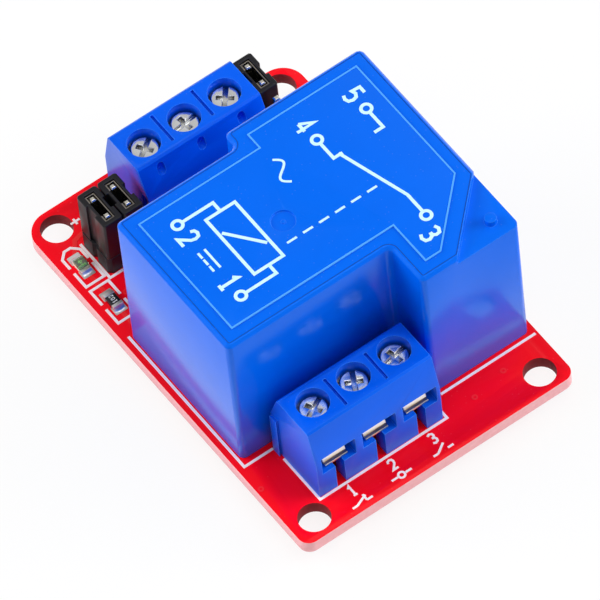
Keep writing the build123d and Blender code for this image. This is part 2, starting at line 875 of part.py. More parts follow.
def chip_resistor(x, y):
    height = chip_height - 2 * chip_body_inset
    length = chip_length - 2 * chip_cap_length
    body = bar(0, 0, chip_stand_off + chip_body_inset, chip_width - 2 * chip_body_inset, length, height)
    return on_board(x, y, body)


def chip_caps(x, y, height):
    offset_y = (chip_length - chip_cap_length) / 2
    cap = bar(0, 0, chip_stand_off, chip_width, chip_cap_length, height)
    cap = chamfer(cap.edges().filter_by(Axis.X), chip_body_inset)
    return [on_board(x, y + side * offset_y, cap) for side in (-1, 1)]


def led_base(x, y):
    length = chip_length - 2 * chip_cap_length
    return on_board(x, y, bar(0, 0, chip_stand_off, chip_width, length, led_base_height))


def led_lens(x, y):
    width = chip_width - 2 * chip_body_inset
    lens = bar(0, 0, chip_stand_off + led_base_height, width, led_lens_length, led_lens_height)
    lens = fillet(lens.edges().group_by(Axis.Z)[-1], led_lens_round)
    return on_board(x, y, lens)


def moulded_body(x, y, length, width, height):
    """A small moulded package with a sloped upper half."""
    lower = Rectangle(length, width)
    draft = height * body_draft
    upper = Rectangle(length - 2 * draft, width - 2 * draft)
    half = height / 2
    low_part = loft([upper, Pos(0, 0, half) * lower])
    high_part = loft([Pos(0, 0, half) * lower, Pos(0, 0, height) * upper])
    return on_board(x, y, Pos(0, 0, body_stand_off) * (low_part + high_part))


def gull_lead(x, y, width, turn):
    """A bent lead that leaves a package side at half height and lands flat on the board."""
    knee = lead_reach - lead_foot
    points = [
        (0, lead_lift),
        (knee - lead_thickness, lead_lift),
        (knee - lead_thickness, 0),
        (lead_reach, 0),
        (lead_reach, lead_thickness),
        (knee, lead_thickness),
        (knee, lead_lift + lead_thickness),
        (0, lead_lift + lead_thickness),
    ]
    lead = profile_along_y(points, 0, width)
    return on_board(x, y, Rot(0, 0, turn) * lead)


def hidden_row_y():
    """Line of the parts that stand between the relay and the input block."""
    return relay_y + relay_width + relay_to_input_gap / 2


def row_places():
    """Centres along X of the row's parts, from the left: light, coupler, transistor, diode and chips."""
    lengths = [
        chip_width,
        coupler_length + 2 * lead_reach,
        transistor_length,
        diode_length + 2 * lead_reach,
    ] + row_chips * [chip_width]
    places = []
    start = left_edge + row_from_left
    for length in lengths:
        places.append(start + length / 2)
        start += length + row_gap
    return places


def small_package_leads():
    """Leads of the coupler, the transistor and the diode."""
    y = hidden_row_y()
    coupler_x, transistor_x, diode_x = row_places()[1:4]
    leads = []
    for side, turn in ((-1, 180), (1, 0)):
        for row in (-1, 1):
            place_y = y + row * coupler_lead_pitch / 2
            place_x = coupler_x + side * coupler_length / 2
            leads.append(gull_lead(place_x, place_y, coupler_lead_width, turn))
    back = y + transistor_width / 2
    front = y - transistor_width / 2
    leads.append(gull_lead(transistor_x, back, small_lead_width, 90))
    for side in (-1, 1):
        place_x = transistor_x + side * transistor_lead_pitch
        leads.append(gull_lead(place_x, front, small_lead_width, 270))
    for side, turn in ((-1, 180), (1, 0)):
        place_x = diode_x + side * diode_length / 2
        leads.append(gull_lead(place_x, y, diode_lead_width, turn))
    return Compound(leads)


def led_places():
    """The signal light beside the selector header and the power light at the start of the hidden row."""
    selector = selector_places()
    selector_y = (selector[0][1] + selector[1][1]) / 2
    return [
        (left_edge + led_from_left, selector_y + led_ahead_of_selector),
        (row_places()[0], hidden_row_y()),
    ]


def chip_places():
    """Chip resistors: one in line with the signal light, the others at the end of the hidden row."""
    signal_x, signal_y = led_places()[0]
    return [(signal_x, signal_y - led_to_resistor)] + [(x, hidden_row_y()) for x in row_places()[-row_chips:]]


def all_pieces():
    """Every named piece of the module."""
    pieces = {
        "circuit_board": circuit_board(),
        "solder_joints": solder_joints(),
        "relay_case": relay_case(),
        "relay_base": relay_base(),
        "relay_yoke": yoke(),
        "relay_core": core(),
        "relay_bobbin": bobbin(),
        "relay_winding": coil_winding(),
        "relay_coil_pins": coil_pins(),
        "relay_armature": armature(),
        "relay_blade": contact_blade(),
        "relay_moving_contact": moving_contact(),
        "relay_fixed_contacts": fixed_contacts(),
        "relay_closed_terminal": normally_closed_terminal(),
        "relay_open_terminal": normally_open_terminal(),
        "relay_common_terminal": common_terminal(),
        "relay_return_spring": return_leaf(),
    }
    pieces.update(terminal_block("output", place_output, screw_turn_at_rest[:poles]))
    pieces.update(terminal_block("input", place_input, screw_turn_at_rest[poles:]))

    selector = selector_places()
    rear = rear_header_places()
    pieces["selector_header_body"] = header_body(selector)
    pieces["selector_header_pins"] = header_pins(selector)
    pieces["rear_header_body"] = header_body(rear)
    pieces["rear_header_pins"] = header_pins(rear)
    caps = {"left": selector[:2], "right": selector[2:], "rear": rear[:2]}
    for name, (first, second) in caps.items():
        x = (first[0] + second[0]) / 2
        y = (first[1] + second[1]) / 2
        pieces[f"jumper_cap_{name}"] = jumper_cap(x, y)
        pieces[f"jumper_clip_{name}"] = jumper_clip(x, y)

    chips = chip_places()
    signal, power = led_places()
    row_y = hidden_row_y()
    ends = [cap for x, y in chips for cap in chip_caps(x, y, chip_height)]
    ends += [cap for x, y in (signal, power) for cap in chip_caps(x, y, led_base_height)]
    pieces["chip_resistors"] = Compound([chip_resistor(x, y) for x, y in chips])
    pieces["chip_end_caps"] = Compound(ends)
    pieces["signal_led_base"] = led_base(*signal)
    pieces["signal_led_lens"] = led_lens(*signal)
    pieces["power_led_base"] = led_base(*power)
    pieces["power_led_lens"] = led_lens(*power)
    coupler_x, transistor_x, diode_x = row_places()[1:4]
    pieces["coupler_body"] = moulded_body(coupler_x, row_y, coupler_length, coupler_width, coupler_height)
    pieces["transistor_body"] = moulded_body(
        transistor_x, row_y, transistor_length, transistor_width, transistor_height)
    pieces["diode_body"] = moulded_body(diode_x, row_y, diode_length, diode_width, diode_height)
    pieces["small_package_leads"] = small_package_leads()
    return pieces


os.makedirs("parts", exist_ok=True)
for node, solid in all_pieces().items():
    export_step(solid, f"parts/{node}.step")
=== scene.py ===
import json
import math

import bmesh
import bpy
from mathutils import Matrix, Vector


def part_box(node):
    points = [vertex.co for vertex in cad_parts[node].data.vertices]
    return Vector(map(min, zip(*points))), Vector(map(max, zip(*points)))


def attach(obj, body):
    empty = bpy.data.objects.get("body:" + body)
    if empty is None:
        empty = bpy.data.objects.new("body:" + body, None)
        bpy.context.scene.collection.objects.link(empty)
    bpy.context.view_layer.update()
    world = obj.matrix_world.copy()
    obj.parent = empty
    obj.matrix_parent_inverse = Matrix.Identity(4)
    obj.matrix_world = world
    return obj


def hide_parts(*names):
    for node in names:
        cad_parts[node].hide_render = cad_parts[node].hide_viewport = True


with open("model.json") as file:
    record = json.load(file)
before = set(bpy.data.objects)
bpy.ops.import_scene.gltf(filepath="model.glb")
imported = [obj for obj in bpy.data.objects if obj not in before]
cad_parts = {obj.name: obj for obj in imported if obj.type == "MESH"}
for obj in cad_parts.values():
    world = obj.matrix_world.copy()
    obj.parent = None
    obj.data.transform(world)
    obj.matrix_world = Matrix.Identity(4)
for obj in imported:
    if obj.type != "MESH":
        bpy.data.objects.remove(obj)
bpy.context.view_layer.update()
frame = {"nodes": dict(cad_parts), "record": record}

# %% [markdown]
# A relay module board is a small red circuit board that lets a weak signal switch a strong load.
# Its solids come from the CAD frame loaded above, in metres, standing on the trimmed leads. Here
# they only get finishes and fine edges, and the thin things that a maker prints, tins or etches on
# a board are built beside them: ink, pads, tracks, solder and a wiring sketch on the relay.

mm = 0.001
scene = bpy.context.scene
nodes = frame["nodes"]
print("CAD nodes:", len(nodes))

# %% [markdown]
# Every place on the board is read from the frame, never typed twice: the box of a CAD node gives
# its lowest and highest corners, and the printed and tinned pieces are set out from those corners.

# %% Places read from the frame
board_low, board_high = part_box("circuit_board")
relay_low, relay_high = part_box("relay_case")
output_low, output_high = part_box("output_housing")
input_low, input_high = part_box("input_housing")
board_top = board_high.z
board_bottom = board_low.z


def middle(node):
    """Centre of a CAD node's box."""
    low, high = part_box(node)
    return (low + high) / 2


def side_of(node, axis, end):
    """One face of a CAD node's box: axis 0, 1 or 2 and end 0 (low) or 1 (high)."""
    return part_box(node)[end][axis]


def points_of(node):
    """Every vertex of a CAD node."""
    return [vertex.co for vertex in nodes[node].data.vertices]


stem_reach = 5 * mm
face_reach = 1 * mm
case_points = points_of("relay_case")
stem_sides = [p.y for p in case_points if p.x < relay_low.x + stem_reach]
stem_front, stem_back = min(stem_sides), max(stem_sides)
bar_left = min(p.x for p in case_points if p.y < relay_low.y + face_reach)
output_left = min(p.x for p in points_of("output_housing") if p.z > output_high.z - face_reach)
print("board from", tuple(round(v / mm, 2) for v in board_low), "to",
      tuple(round(v / mm, 2) for v in board_high))
print("relay stem from y", round(stem_front / mm, 2), "to", round(stem_back / mm, 2))

# %% [markdown]
# The camera stands far away with a long lens, as a catalogue photographer does, so that the board's
# long sides stay nearly parallel. It looks down steeply over the board's left front corner.

# %% Camera
view_azimuth = -30.19
view_elevation = 55.57
view_roll = 6.90
view_distance = 1.2706
lens_length = 747.6
aim = Vector((-0.001264, -0.002793, 0.0079))


def look_direction(azimuth, elevation):
    """Unit vector from the object to a camera that stands at an azimuth from the front, in degrees."""
    turn = math.radians(azimuth)
    lift = math.radians(elevation)
    return Vector((math.sin(turn) * math.cos(lift), -math.cos(turn) * math.cos(lift), math.sin(lift)))


camera_data = bpy.data.cameras.new("camera")
camera = bpy.data.objects.new("camera", camera_data)
scene.collection.objects.link(camera)
camera_data.lens = lens_length
camera_data.sensor_width = 36.0
camera_data.clip_end = 10.0
toward = look_direction(view_azimuth, view_elevation)
turn = toward.to_track_quat("Z", "Y").to_matrix() @ Matrix.Rotation(math.radians(-view_roll), 3, "Z")
camera.matrix_world = Matrix.Translation(aim + toward * view_distance) @ turn.to_4x4()
scene.camera = camera
print("camera", tuple(round(v, 4) for v in camera.matrix_world.translation))

# %% [markdown]
# Every finish is a small graph of shader nodes. A few helpers lay the nodes and feed them, and each
# new material goes on a shelf of finishes, where the pieces find it by name.

# %% Helpers for shader nodes
finishes = {}


def add_node(tree, kind, feeds=None, **settings):
    """A shader node with its properties set; feeds maps inputs to values or to other nodes' outputs."""
    made = tree.nodes.new(kind)
    for name, value in settings.items():
        setattr(made, name, value)
    for socket, value in (feeds or {}).items():
        if isinstance(value, bpy.types.NodeSocket):
            tree.links.new(value, made.inputs[socket])
        else:
            made.inputs[socket].default_value = value
    return made


def calculate(tree, operation, *values, **settings):
    """Output of a math node fed with numbers or outputs."""
    return add_node(tree, "ShaderNodeMath", dict(enumerate(values)), operation=operation, **settings).outputs[0]


def remap(tree, value, low=0.0, high=1.0, start=0.0, end=1.0):
    """Number output that carries value from the range low to high to the range start to end."""
    feeds = {"Value": value, "From Min": low, "From Max": high, "To Min": start, "To Max": end}
    return add_node(tree, "ShaderNodeMapRange", feeds).outputs["Result"]


def new_material(name):
    """A material, put on the shelf of finishes, and its empty node tree."""
    material = bpy.data.materials.new(name)
    finishes[name] = material
    material.use_nodes = True
    material.node_tree.nodes.clear()
    return material, material.node_tree


def show(tree, shader, output="ShaderNodeOutputMaterial"):
    """Make a shader the surface of its tree."""
    add_node(tree, output, {"Surface": shader.outputs[0]})


def mix_shaders(tree, share, first, second):
    return add_node(tree, "ShaderNodeMixShader", {"Fac": share, 1: first.outputs[0], 2: second.outputs[0]})


print("shader helpers ready")

# %% [markdown]
# The studio is a white sweep under a large soft light. The floor is a real surface, so it catches
# the board's shadow, and part of what the camera sees of it is plain white. A mirror ray meets the
# same white floor, because glossy plastic and bright metal look right only with something to show.

# %% Floor, world and lamps
floor_white = 0.92
floor_size = 1.6
floor_drop = 0.05 * mm
camera_white_share = 0.86
mirror_white_share = 0.8
zenith_share = 0.6
world_strength = 0.32
paper_roughness = 0.35
lamps = [  # name, azimuth, elevation, distance, size, power, shown in glossy surfaces
    ("key_light", 20, 72, 0.7, 0.5, 1.7, True),
    ("front_light", 62, 22, 0.7, 0.45, 3.4, False),
    ("side_light", -125, 30, 0.6, 0.45, 2.7, False),
]


def floor_material():
    """White paper, part of which shines plainly for the camera and for mirrors."""
    material, tree = new_material("floor_paper")
    seen = add_node(tree, "ShaderNodeLightPath").outputs
    share = calculate(tree, "MULTIPLY", seen["Is Camera Ray"], camera_white_share)
    mirror = calculate(tree, "MULTIPLY", seen["Is Glossy Ray"], mirror_white_share)
    whole = calculate(tree, "ADD", share, mirror, use_clamp=True)
    grey = (floor_white, floor_white, floor_white, 1)
    paper = add_node(tree, "ShaderNodeBsdfPrincipled", {"Base Color": grey, "Roughness": paper_roughness})
    show(tree, mix_shaders(tree, whole, paper, add_node(tree, "ShaderNodeEmission")))
    return material


def floor_plane():
    mesh = bpy.data.meshes.new("floor")
    half = floor_size / 2
    corners = [(-half, -half, 0), (half, -half, 0), (half, half, 0), (-half, half, 0)]
    mesh.from_pydata(corners, [], [(0, 1, 2, 3)])
    floor = bpy.data.objects.new("floor", mesh)
    floor.location.z = -floor_drop
    floor.data.materials.append(floor_material())
    scene.collection.objects.link(floor)


def studio_world():
    """Even white light; what a mirror ray sees of it is darker overhead than at the horizon."""
    world = bpy.data.worlds.new("studio")
    scene.world = world
    world.use_nodes = True
    tree = world.node_tree
    tree.nodes.clear()
    seen = add_node(tree, "ShaderNodeLightPath").outputs
    direction = add_node(tree, "ShaderNodeTexCoord").outputs["Generated"]
    height = add_node(tree, "ShaderNodeSeparateXYZ", {0: direction}).outputs["Z"]
    dimmed = remap(tree, height, start=mirror_white_share, end=mirror_white_share * zenith_share)
    soft, mirrored, plain = (add_node(tree, "ShaderNodeBackground", {"Color": (1, 1, 1, 1), "Strength": strength})
                             for strength in (world_strength, dimmed, 1.0))
    lit = mix_shaders(tree, seen["Is Glossy Ray"], soft, mirrored)
    show(tree, mix_shaders(tree, seen["Is Camera Ray"], lit, plain), "ShaderNodeOutputWorld")


def soft_lamp(name, azimuth, elevation, distance, size, power, mirrored):
    """A square area lamp that looks at the object."""
    data = bpy.data.lights.new(name, "AREA")
    data.shape = "SQUARE"
    data.size = size
    data.energy = power
    lamp = bpy.data.objects.new(name, data)
    lamp.visible_glossy = mirrored
    scene.collection.objects.link(lamp)
    away = look_direction(azimuth, elevation)
    lamp.matrix_world = Matrix.Translation(away * distance) @ away.to_track_quat("Z", "Y").to_matrix().to_4x4()


floor_plane()
studio_world()
for lamp in lamps:
    soft_lamp(*lamp)
scene.view_settings.view_transform = "Standard"
print("floor, world and", len(lamps), "lamps")

# %% [markdown]
# Three effects come back in many finishes, so each is built once as a shader group: a moulded or
# cast grain, a mask of sharp edges, and light dust. A group gives only masks and heights. The material then
# decides what they change, by its own amounts: on metal the edge mask is rubbed wear, on plastic it paints a
# paler edge highlight.

# %% Effect groups
bevel_radius = 0.12 * mm
speck_core = 0.05
speck_edge = 0.13
level_enough = 0.6


def new_group(name, inputs, outputs):
    """A shader group with number inputs (name, default) and number outputs, and its input sockets."""
    group = bpy.data.node_groups.new(name, "ShaderNodeTree")
    for title, value in inputs:
        group.interface.new_socket(title, in_out="INPUT", socket_type="NodeSocketFloat").default_value = value
    for title in outputs:
        group.interface.new_socket(title, in_out="OUTPUT", socket_type="NodeSocketFloat")
    return group, add_node(group, "NodeGroupInput").outputs


def object_place(tree):
    return add_node(tree, "ShaderNodeTexCoord").outputs["Object"]


def grain_group():
    """Two sizes of noise in object space: a fine one for the surface height, a wide one for tone."""
    group, start = new_group("moulded_grain", [("Fine Scale", 6000.0), ("Wide Scale", 180.0)],
                             ["Height", "Tone"])
    place = object_place(group)
    fine = add_node(group, "ShaderNodeTexNoise", {"Vector": place, "Scale": start["Fine Scale"], "Detail": 3.0})
    wide = add_node(group, "ShaderNodeTexNoise", {"Vector": place, "Scale": start["Wide Scale"], "Detail": 4.0,
                                                  "Roughness": 0.6})
    add_node(group, "NodeGroupOutput", {"Height": fine.outputs["Fac"], "Tone": wide.outputs["Fac"]})
    return group


def edge_group():
    """Mask of sharp outer edges: the true normal against the normal rounded over a small radius."""
    group, start = new_group("edge_wear_and_highlight", [("Low", 0.01), ("High", 0.12)], ["Mask"])
    rounded = add_node(group, "ShaderNodeBevel", {"Radius": bevel_radius}, samples=4).outputs["Normal"]
    facing = add_node(group, "ShaderNodeNewGeometry").outputs["Normal"]
    match = add_node(group, "ShaderNodeVectorMath", {0: rounded, 1: facing}, operation="DOT_PRODUCT")
    turned = calculate(group, "SUBTRACT", 1.0, match.outputs["Value"])
    add_node(group, "NodeGroupOutput", {"Mask": remap(group, turned, start["Low"], start["High"])})
    return group


def dust_group():
    """Sparse specks that lie on faces that look upwards."""
    group, start = new_group("light_dust", [("Scale", 900.0), ("Amount", 0.4)], ["Mask"])
    specks = add_node(group, "ShaderNodeTexVoronoi", {"Vector": object_place(group), "Scale": start["Scale"]},
                      feature="F1")
    facing = add_node(group, "ShaderNodeNewGeometry").outputs["Normal"]
    upward = remap(group, add_node(group, "ShaderNodeSeparateXYZ", {0: facing}).outputs["Z"], level_enough)
    dots = remap(group, specks.outputs["Distance"], speck_edge, speck_core)
    both = calculate(group, "MULTIPLY", dots, upward)
    add_node(group, "NodeGroupOutput", {"Mask": calculate(group, "MULTIPLY", both, start["Amount"])})
    return group


grain = grain_group()
edge_wear_and_highlight = edge_group()
light_dust = dust_group()
print("groups:", [group.name for group in bpy.data.node_groups])

# %% [markdown]
# Moulded plastic, whether the relay's glossy blue cover, the satin blue terminals or the black
# headers, is one recipe: a deep colour that drifts a little, sharp edges painted a paler tone as a painted
# highlight, a fine grain from the mould and a few specks of dust. Only the values change from one to the next.

# %% Plastics
dust_colour = (0.75, 0.74, 0.72)
no_tint = (1.0, 1.0, 1.0)


def use_group(tree, group, **values):
    """Place an effect group in a material with its own input values and give its outputs."""
    made = add_node(tree, "ShaderNodeGroup", node_tree=group)
    for name, value in values.items():
        made.inputs[name.replace("_", " ")].default_value = value
    return made.outputs


def mixed_colour(tree, factor, first, second):
    """Colour output that goes from first to second with factor; either may be a colour or an output."""
    first, second = ((*value, 1) if isinstance(value, tuple) else value for value in (first, second))
    feeds = {"Factor": factor, 6: first, 7: second}
    return add_node(tree, "ShaderNodeMix", feeds, data_type="RGBA").outputs[2]


def bumped(tree, height, distance):
    feeds = {"Height": height, "Strength": 1.0, "Distance": distance * mm}
    return add_node(tree, "ShaderNodeBump", feeds).outputs["Normal"]


def principled(tree, feeds):
    """Principled shader shown as the surface."""
    show(tree, add_node(tree, "ShaderNodeBsdfPrincipled", feeds))


def plastic(name, colour, shade, edge, roughness, grain_height=0.004, specular=0.24, sheen=no_tint):
    """Moulded plastic: colour drifts towards shade, outer edges towards edge, a painted highlight; roughness is
    (low, high).
    """
    material, tree = new_material(name)
    texture = use_group(tree, grain, Fine_Scale=5000.0, Wide_Scale=160.0)
    edge_mask = use_group(tree, edge_wear_and_highlight, Low=0.02, High=0.2)
    specks = use_group(tree, light_dust, Scale=1700.0, Amount=0.06)
    drifted = mixed_colour(tree, texture["Tone"], colour, shade)
    # Painted highlight: the sharp edges take the paler edge colour.
    edged = mixed_colour(tree, edge_mask["Mask"], drifted, edge)
    principled(tree, {
        "Base Color": mixed_colour(tree, specks["Mask"], edged, dust_colour),
        "Roughness": remap(tree, texture["Tone"], 0.0, 1.0, *roughness),
        "Specular IOR Level": specular, "Specular Tint": (*sheen, 1),
        "Normal": bumped(tree, texture["Height"], grain_height)})
    return material


plastic("relay_blue", (0.0, 0.14, 0.88), (0.0, 0.12, 0.78), (0.1, 0.42, 1.0), (0.16, 0.22),
        grain_height=0.002, specular=0.5, sheen=(0.16, 0.5, 1.0))
plastic("base_plastic", (0.01, 0.05, 0.3), (0.008, 0.04, 0.22), (0.02, 0.08, 0.4), (0.45, 0.6))
plastic("block_blue", (0.0, 0.115, 0.84), (0.0, 0.095, 0.74), (0.08, 0.34, 1.0), (0.26, 0.36),
        specular=0.4, sheen=(0.3, 0.6, 1.0))
plastic("header_black", (0.012, 0.011, 0.013), (0.008, 0.008, 0.01), (0.06, 0.06, 0.065), (0.35, 0.5))
plastic("cap_black", (0.01, 0.009, 0.011), (0.007, 0.007, 0.009), (0.07, 0.07, 0.08), (0.32, 0.44),
        specular=0.3)
plastic("package_black", (0.02, 0.02, 0.022), (0.014, 0.014, 0.016), (0.06, 0.06, 0.06), (0.5, 0.65),
        grain_height=0.012)
plastic("chip_black", (0.015, 0.015, 0.018), (0.01, 0.01, 0.013), (0.05, 0.05, 0.05), (0.12, 0.2),
        specular=0.5)
plastic("bobbin_plastic", (0.72, 0.69, 0.6), (0.66, 0.62, 0.52), (0.8, 0.78, 0.72), (0.35, 0.5))
plastic("led_white", (0.86, 0.84, 0.7), (0.8, 0.77, 0.62), (0.92, 0.92, 0.86), (0.3, 0.45))
print("finishes so far:", sorted(finishes))

# %% [markdown]
# Metals differ by their base colour and by how they were made: rolled strip shows fine streaks along
# one axis, plated wire is smooth with faint stains, and solder freezes into soft ripples.

# %% Metals
# Painted shade in the hollows of some metals: how far the occlusion looks, and the levels at which the shade is
# full and gone.
shade_reach = 0.5 * mm
shade_full = 0.45
shade_none = 0.92


def metal(name, colour, stain, roughness, streak=(1.0, 1.0, 1.0), fine_scale=1500.0, grain_height=0.01,
          recess_shade=None):
    """Metal whose grain is stretched by streak; stain is the tone of its tarnish, and the last colour, if given,
    is painted shade in its hollows and corners.
    """
    material, tree = new_material(name)
    stretched = add_node(tree, "ShaderNodeMapping", {"Vector": object_place(tree), "Scale": streak})
    fine = add_node(tree, "ShaderNodeTexNoise", {"Vector": stretched.outputs["Vector"], "Scale": fine_scale,
                                                 "Detail": 4.0}).outputs["Fac"]
    texture = use_group(tree, grain, Fine_Scale=3000.0, Wide_Scale=420.0)
    edge_mask = use_group(tree, edge_wear_and_highlight, Low=0.02, High=0.25)
    stained = mixed_colour(tree, texture["Tone"], colour, stain)
    edged = mixed_colour(tree, edge_mask["Mask"], stained, colour)
    # Painted shade: hollows and corners that the occlusion finds turn to the given dark colour.
    if recess_shade:
        open_sky = add_node(tree, "ShaderNodeAmbientOcclusion", {"Distance": shade_reach}, samples=6)
        unshaded = remap(tree, open_sky.outputs["AO"], shade_full, shade_none)
        edged = mixed_colour(tree, unshaded, recess_shade, edged)
    principled(tree, {"Base Color": edged, "Roughness": remap(tree, fine, 0.0, 1.0, *roughness),
                      "Metallic": 1.0, "Normal": bumped(tree, fine, grain_height)})
    return material


metal("solder", (0.93, 0.91, 0.9), (0.76, 0.74, 0.74), (0.28, 0.42), fine_scale=900.0, grain_height=0.03)
metal("plated_iron", (0.66, 0.66, 0.67), (0.5, 0.49, 0.48), (0.25, 0.42), streak=(1, 8, 1))
metal("copper_wire", (0.78, 0.34, 0.16), (0.6, 0.22, 0.1), (0.2, 0.3), streak=(1, 1, 9), grain_height=0.03)
metal("tinned_brass", (0.84, 0.76, 0.62), (0.66, 0.56, 0.4), (0.22, 0.4), streak=(1, 6, 1))
metal("copper_alloy", (0.82, 0.52, 0.32), (0.68, 0.38, 0.2), (0.2, 0.36), streak=(1, 9, 9))
metal("silver_contact", (0.9, 0.89, 0.86), (0.75, 0.73, 0.68), (0.2, 0.35))
metal("spring_steel", (0.66, 0.6, 0.5), (0.52, 0.46, 0.36), (0.2, 0.34), streak=(1, 9, 1))
metal("header_pin", (0.88, 0.85, 0.76), (0.7, 0.66, 0.56), (0.15, 0.3), streak=(6, 6, 1))
# The guard leaf gets a brown painted shade in its hollows and the screws a near-black one.
metal("guard_steel", (1.0, 0.94, 0.9), (0.9, 0.78, 0.7), (0.22, 0.36), streak=(1, 7, 1),
      recess_shade=(0.4, 0.28, 0.2))
metal("screw_steel", (1.0, 1.0, 0.98), (0.84, 0.86, 0.86), (0.1, 0.24), streak=(1, 1, 8),
      grain_height=0.02, recess_shade=(0.16, 0.16, 0.15))
# Clip metal: a dull bronze, darkened further by painted shade for the caps' sunken clips.
metal("clip_bronze", (0.42, 0.38, 0.33), (0.26, 0.22, 0.18), (0.2, 0.34), streak=(1, 1, 8))
print("finishes so far:", len(finishes))

# %% [markdown]
# The board itself is glass-fibre sheet under red solder mask. The mask is a glossy lacquer that lets
# the weave show faintly, and the sawn edges have none, so the pale pink sheet shows there. One
# material does both: it looks at which way a face points. The walls of the four mounting holes are
# painted dark red, a painted shade.

# %% Board lacquer and sawn edge
mask_colour = (1.0, 0.003, 0.014)
mask_shade = (0.93, 0.001, 0.01)
sawn_colour = (0.93, 0.52, 0.54)
sawn_shade = (0.86, 0.4, 0.42)
# Painted shade: the dark red on the walls of the mounting holes.
hole_shade_colour = (0.22, 0.02, 0.025)
yarn_scale = 320.0
weave_rise = 0.003
mask_roughness = 0.22
sawn_roughness = 0.7
hole_margin = 0.15 * mm


def weave_height(tree):
    """Plain weave of glass yarn about half a millimetre apart."""
    feeds = {"Vector": object_place(tree), "Scale": yarn_scale, "Distortion": 0.6, "Detail Scale": 40.0}
    yarns = [add_node(tree, "ShaderNodeTexWave", feeds, bands_direction=direction).outputs["Fac"]
             for direction in ("X", "Y")]
    return calculate(tree, "MULTIPLY", *yarns)


def hole_shade_share(tree):
    """One on the walls of the four mounting holes and nought elsewhere, by distance from their middles."""
    pattern = next(m for m in frame["record"]["mounts"] if m["name"] == "board_holes")["dims"]
    hole = (pattern["spacing_x_mm"] / 2 * mm, pattern["spacing_y_mm"] / 2 * mm, 0)
    vector = object_place(tree)
    for operation, other in (("ABSOLUTE", None), ("SUBTRACT", hole), ("MULTIPLY", (1, 1, 0))):
        feeds = {0: vector} if other is None else {0: vector, 1: other}
        vector = add_node(tree, "ShaderNodeVectorMath", feeds, operation=operation).outputs["Vector"]
    far = add_node(tree, "ShaderNodeVectorMath", {0: vector}, operation="LENGTH").outputs["Value"]
    return calculate(tree, "LESS_THAN", far, pattern["hole_r_mm"] * mm + hole_margin)


def board_material():
    material, tree = new_material("board_red")
    texture = use_group(tree, grain, Fine_Scale=2500.0, Wide_Scale=120.0)
    specks = use_group(tree, light_dust, Scale=1500.0, Amount=0.05)
    facing = add_node(tree, "ShaderNodeNewGeometry").outputs["True Normal"]
    level = add_node(tree, "ShaderNodeSeparateXYZ", {0: facing}).outputs["Z"]
    sawn = calculate(tree, "LESS_THAN", calculate(tree, "ABSOLUTE", level), 0.5)
    mask = mixed_colour(tree, texture["Tone"], mask_colour, mask_shade)
    edge = mixed_colour(tree, texture["Height"], sawn_colour, sawn_shade)
    # The hole walls get the painted shade, the other cut faces the pale sheet.
    cut = mixed_colour(tree, hole_shade_share(tree), edge, hole_shade_colour)
    both = mixed_colour(tree, sawn, mask, cut)
    principled(tree, {
        "Base Color": mixed_colour(tree, specks["Mask"], both, (0.8, 0.76, 0.74)),
        "Roughness": remap(tree, sawn, 0.0, 1.0, mask_roughness, sawn_roughness),
        "Specular IOR Level": 0.36, "Specular Tint": (1.0, 0.35, 0.35, 1),
        "Normal": bumped(tree, weave_height(tree), weave_rise)})
    return material


board_material()
print("board lacquer ready")

# %% [markdown]
# The lights' lenses are clear resin with a green tint over a cream base. Real resin both lets light
# through and mirrors the studio, so it gets transmission and a smooth surface.

# %% Lens resin
def resin():
    material, tree = new_material("led_clear")
    texture = use_group(tree, grain, Fine_Scale=3000.0, Wide_Scale=900.0)
    principled(tree, {
        "Base Color": mixed_colour(tree, texture["Tone"], (0.86, 0.95, 0.7), (0.78, 0.9, 0.6)),
        "Roughness": 0.08, "IOR": 1.5, "Transmission Weight": 0.85,
        "Normal": bumped(tree, texture["Height"], 0.003)})
    return material


resin()
print("finishes in all:", len(finishes))

# %% [markdown]
# A CAD solid has perfectly sharp edges, and no moulding or stamping has. A stack of modifiers joins
# the split corners, clears the flat faces of spare lines and rounds the edges by a few hundredths
# of a millimetre. The frame's own mesh stays as it is underneath.

# %% Fine edges and finishes on the CAD pieces
edge_round = {  # width of the rounded edge in millimetres
    "relay_blue": 0.12, "block_blue": 0.08, "cap_black": 0.05, "header_black": 0.05, "board_red": 0.04,
    "screw_steel": 0.05, "guard_steel": 0.03, "tinned_brass": 0.05, "clip_bronze": 0.03, "header_pin": 0.04,
    "solder": 0.03, "chip_black": 0.04, "package_black": 0.05, "led_white": 0.03, "led_clear": 0.03,
}
plain_round = 0.04
weld_distance = 0.0005 * mm
flat_angle = 0.6
bevel_angle = 30.0


def add_modifier(piece, name, kind, **settings):
    """A modifier on a piece, with its properties set."""
    made = piece.modifiers.new(name, kind)
    for key, value in settings.items():
        setattr(made, key, value)


def round_edges(piece, width):
    """Join split corners, clear spare lines from flat faces and round what is sharp."""
    add_modifier(piece, "weld", "WELD", merge_threshold=weld_distance)
    add_modifier(piece, "clear_flats", "DECIMATE", decimate_type="DISSOLVE",
                 angle_limit=math.radians(flat_angle))
    add_modifier(piece, "edges", "BEVEL", width=width * mm, segments=2, limit_method="ANGLE",
                 angle_limit=math.radians(bevel_angle), harden_normals=True, use_clamp_overlap=True)


def dress_cad():
    """Give each CAD node the finish of its slot in the record, and fine edges."""
    rows = frame["record"]["subparts"]
    for row in rows:
        piece = nodes[row["node"]]
        slot = row["material_slot"]
        piece.data.materials.clear()
        piece.data.materials.append(finishes[slot])
        for face in piece.data.polygons:
            face.use_smooth = True
        round_edges(piece, edge_round.get(slot, plain_round))
    return len(rows)


print("dressed", dress_cad(), "CAD nodes")

# %% [markdown]
# Ink and copper lie on the board as films a few hundredths of a millimetre thick. Each is a
# mesh made here from strokes: a stroke is a line of points with a width, mitred at its corners and
# raised a little, so that it catches light at its edge as printed ink does.

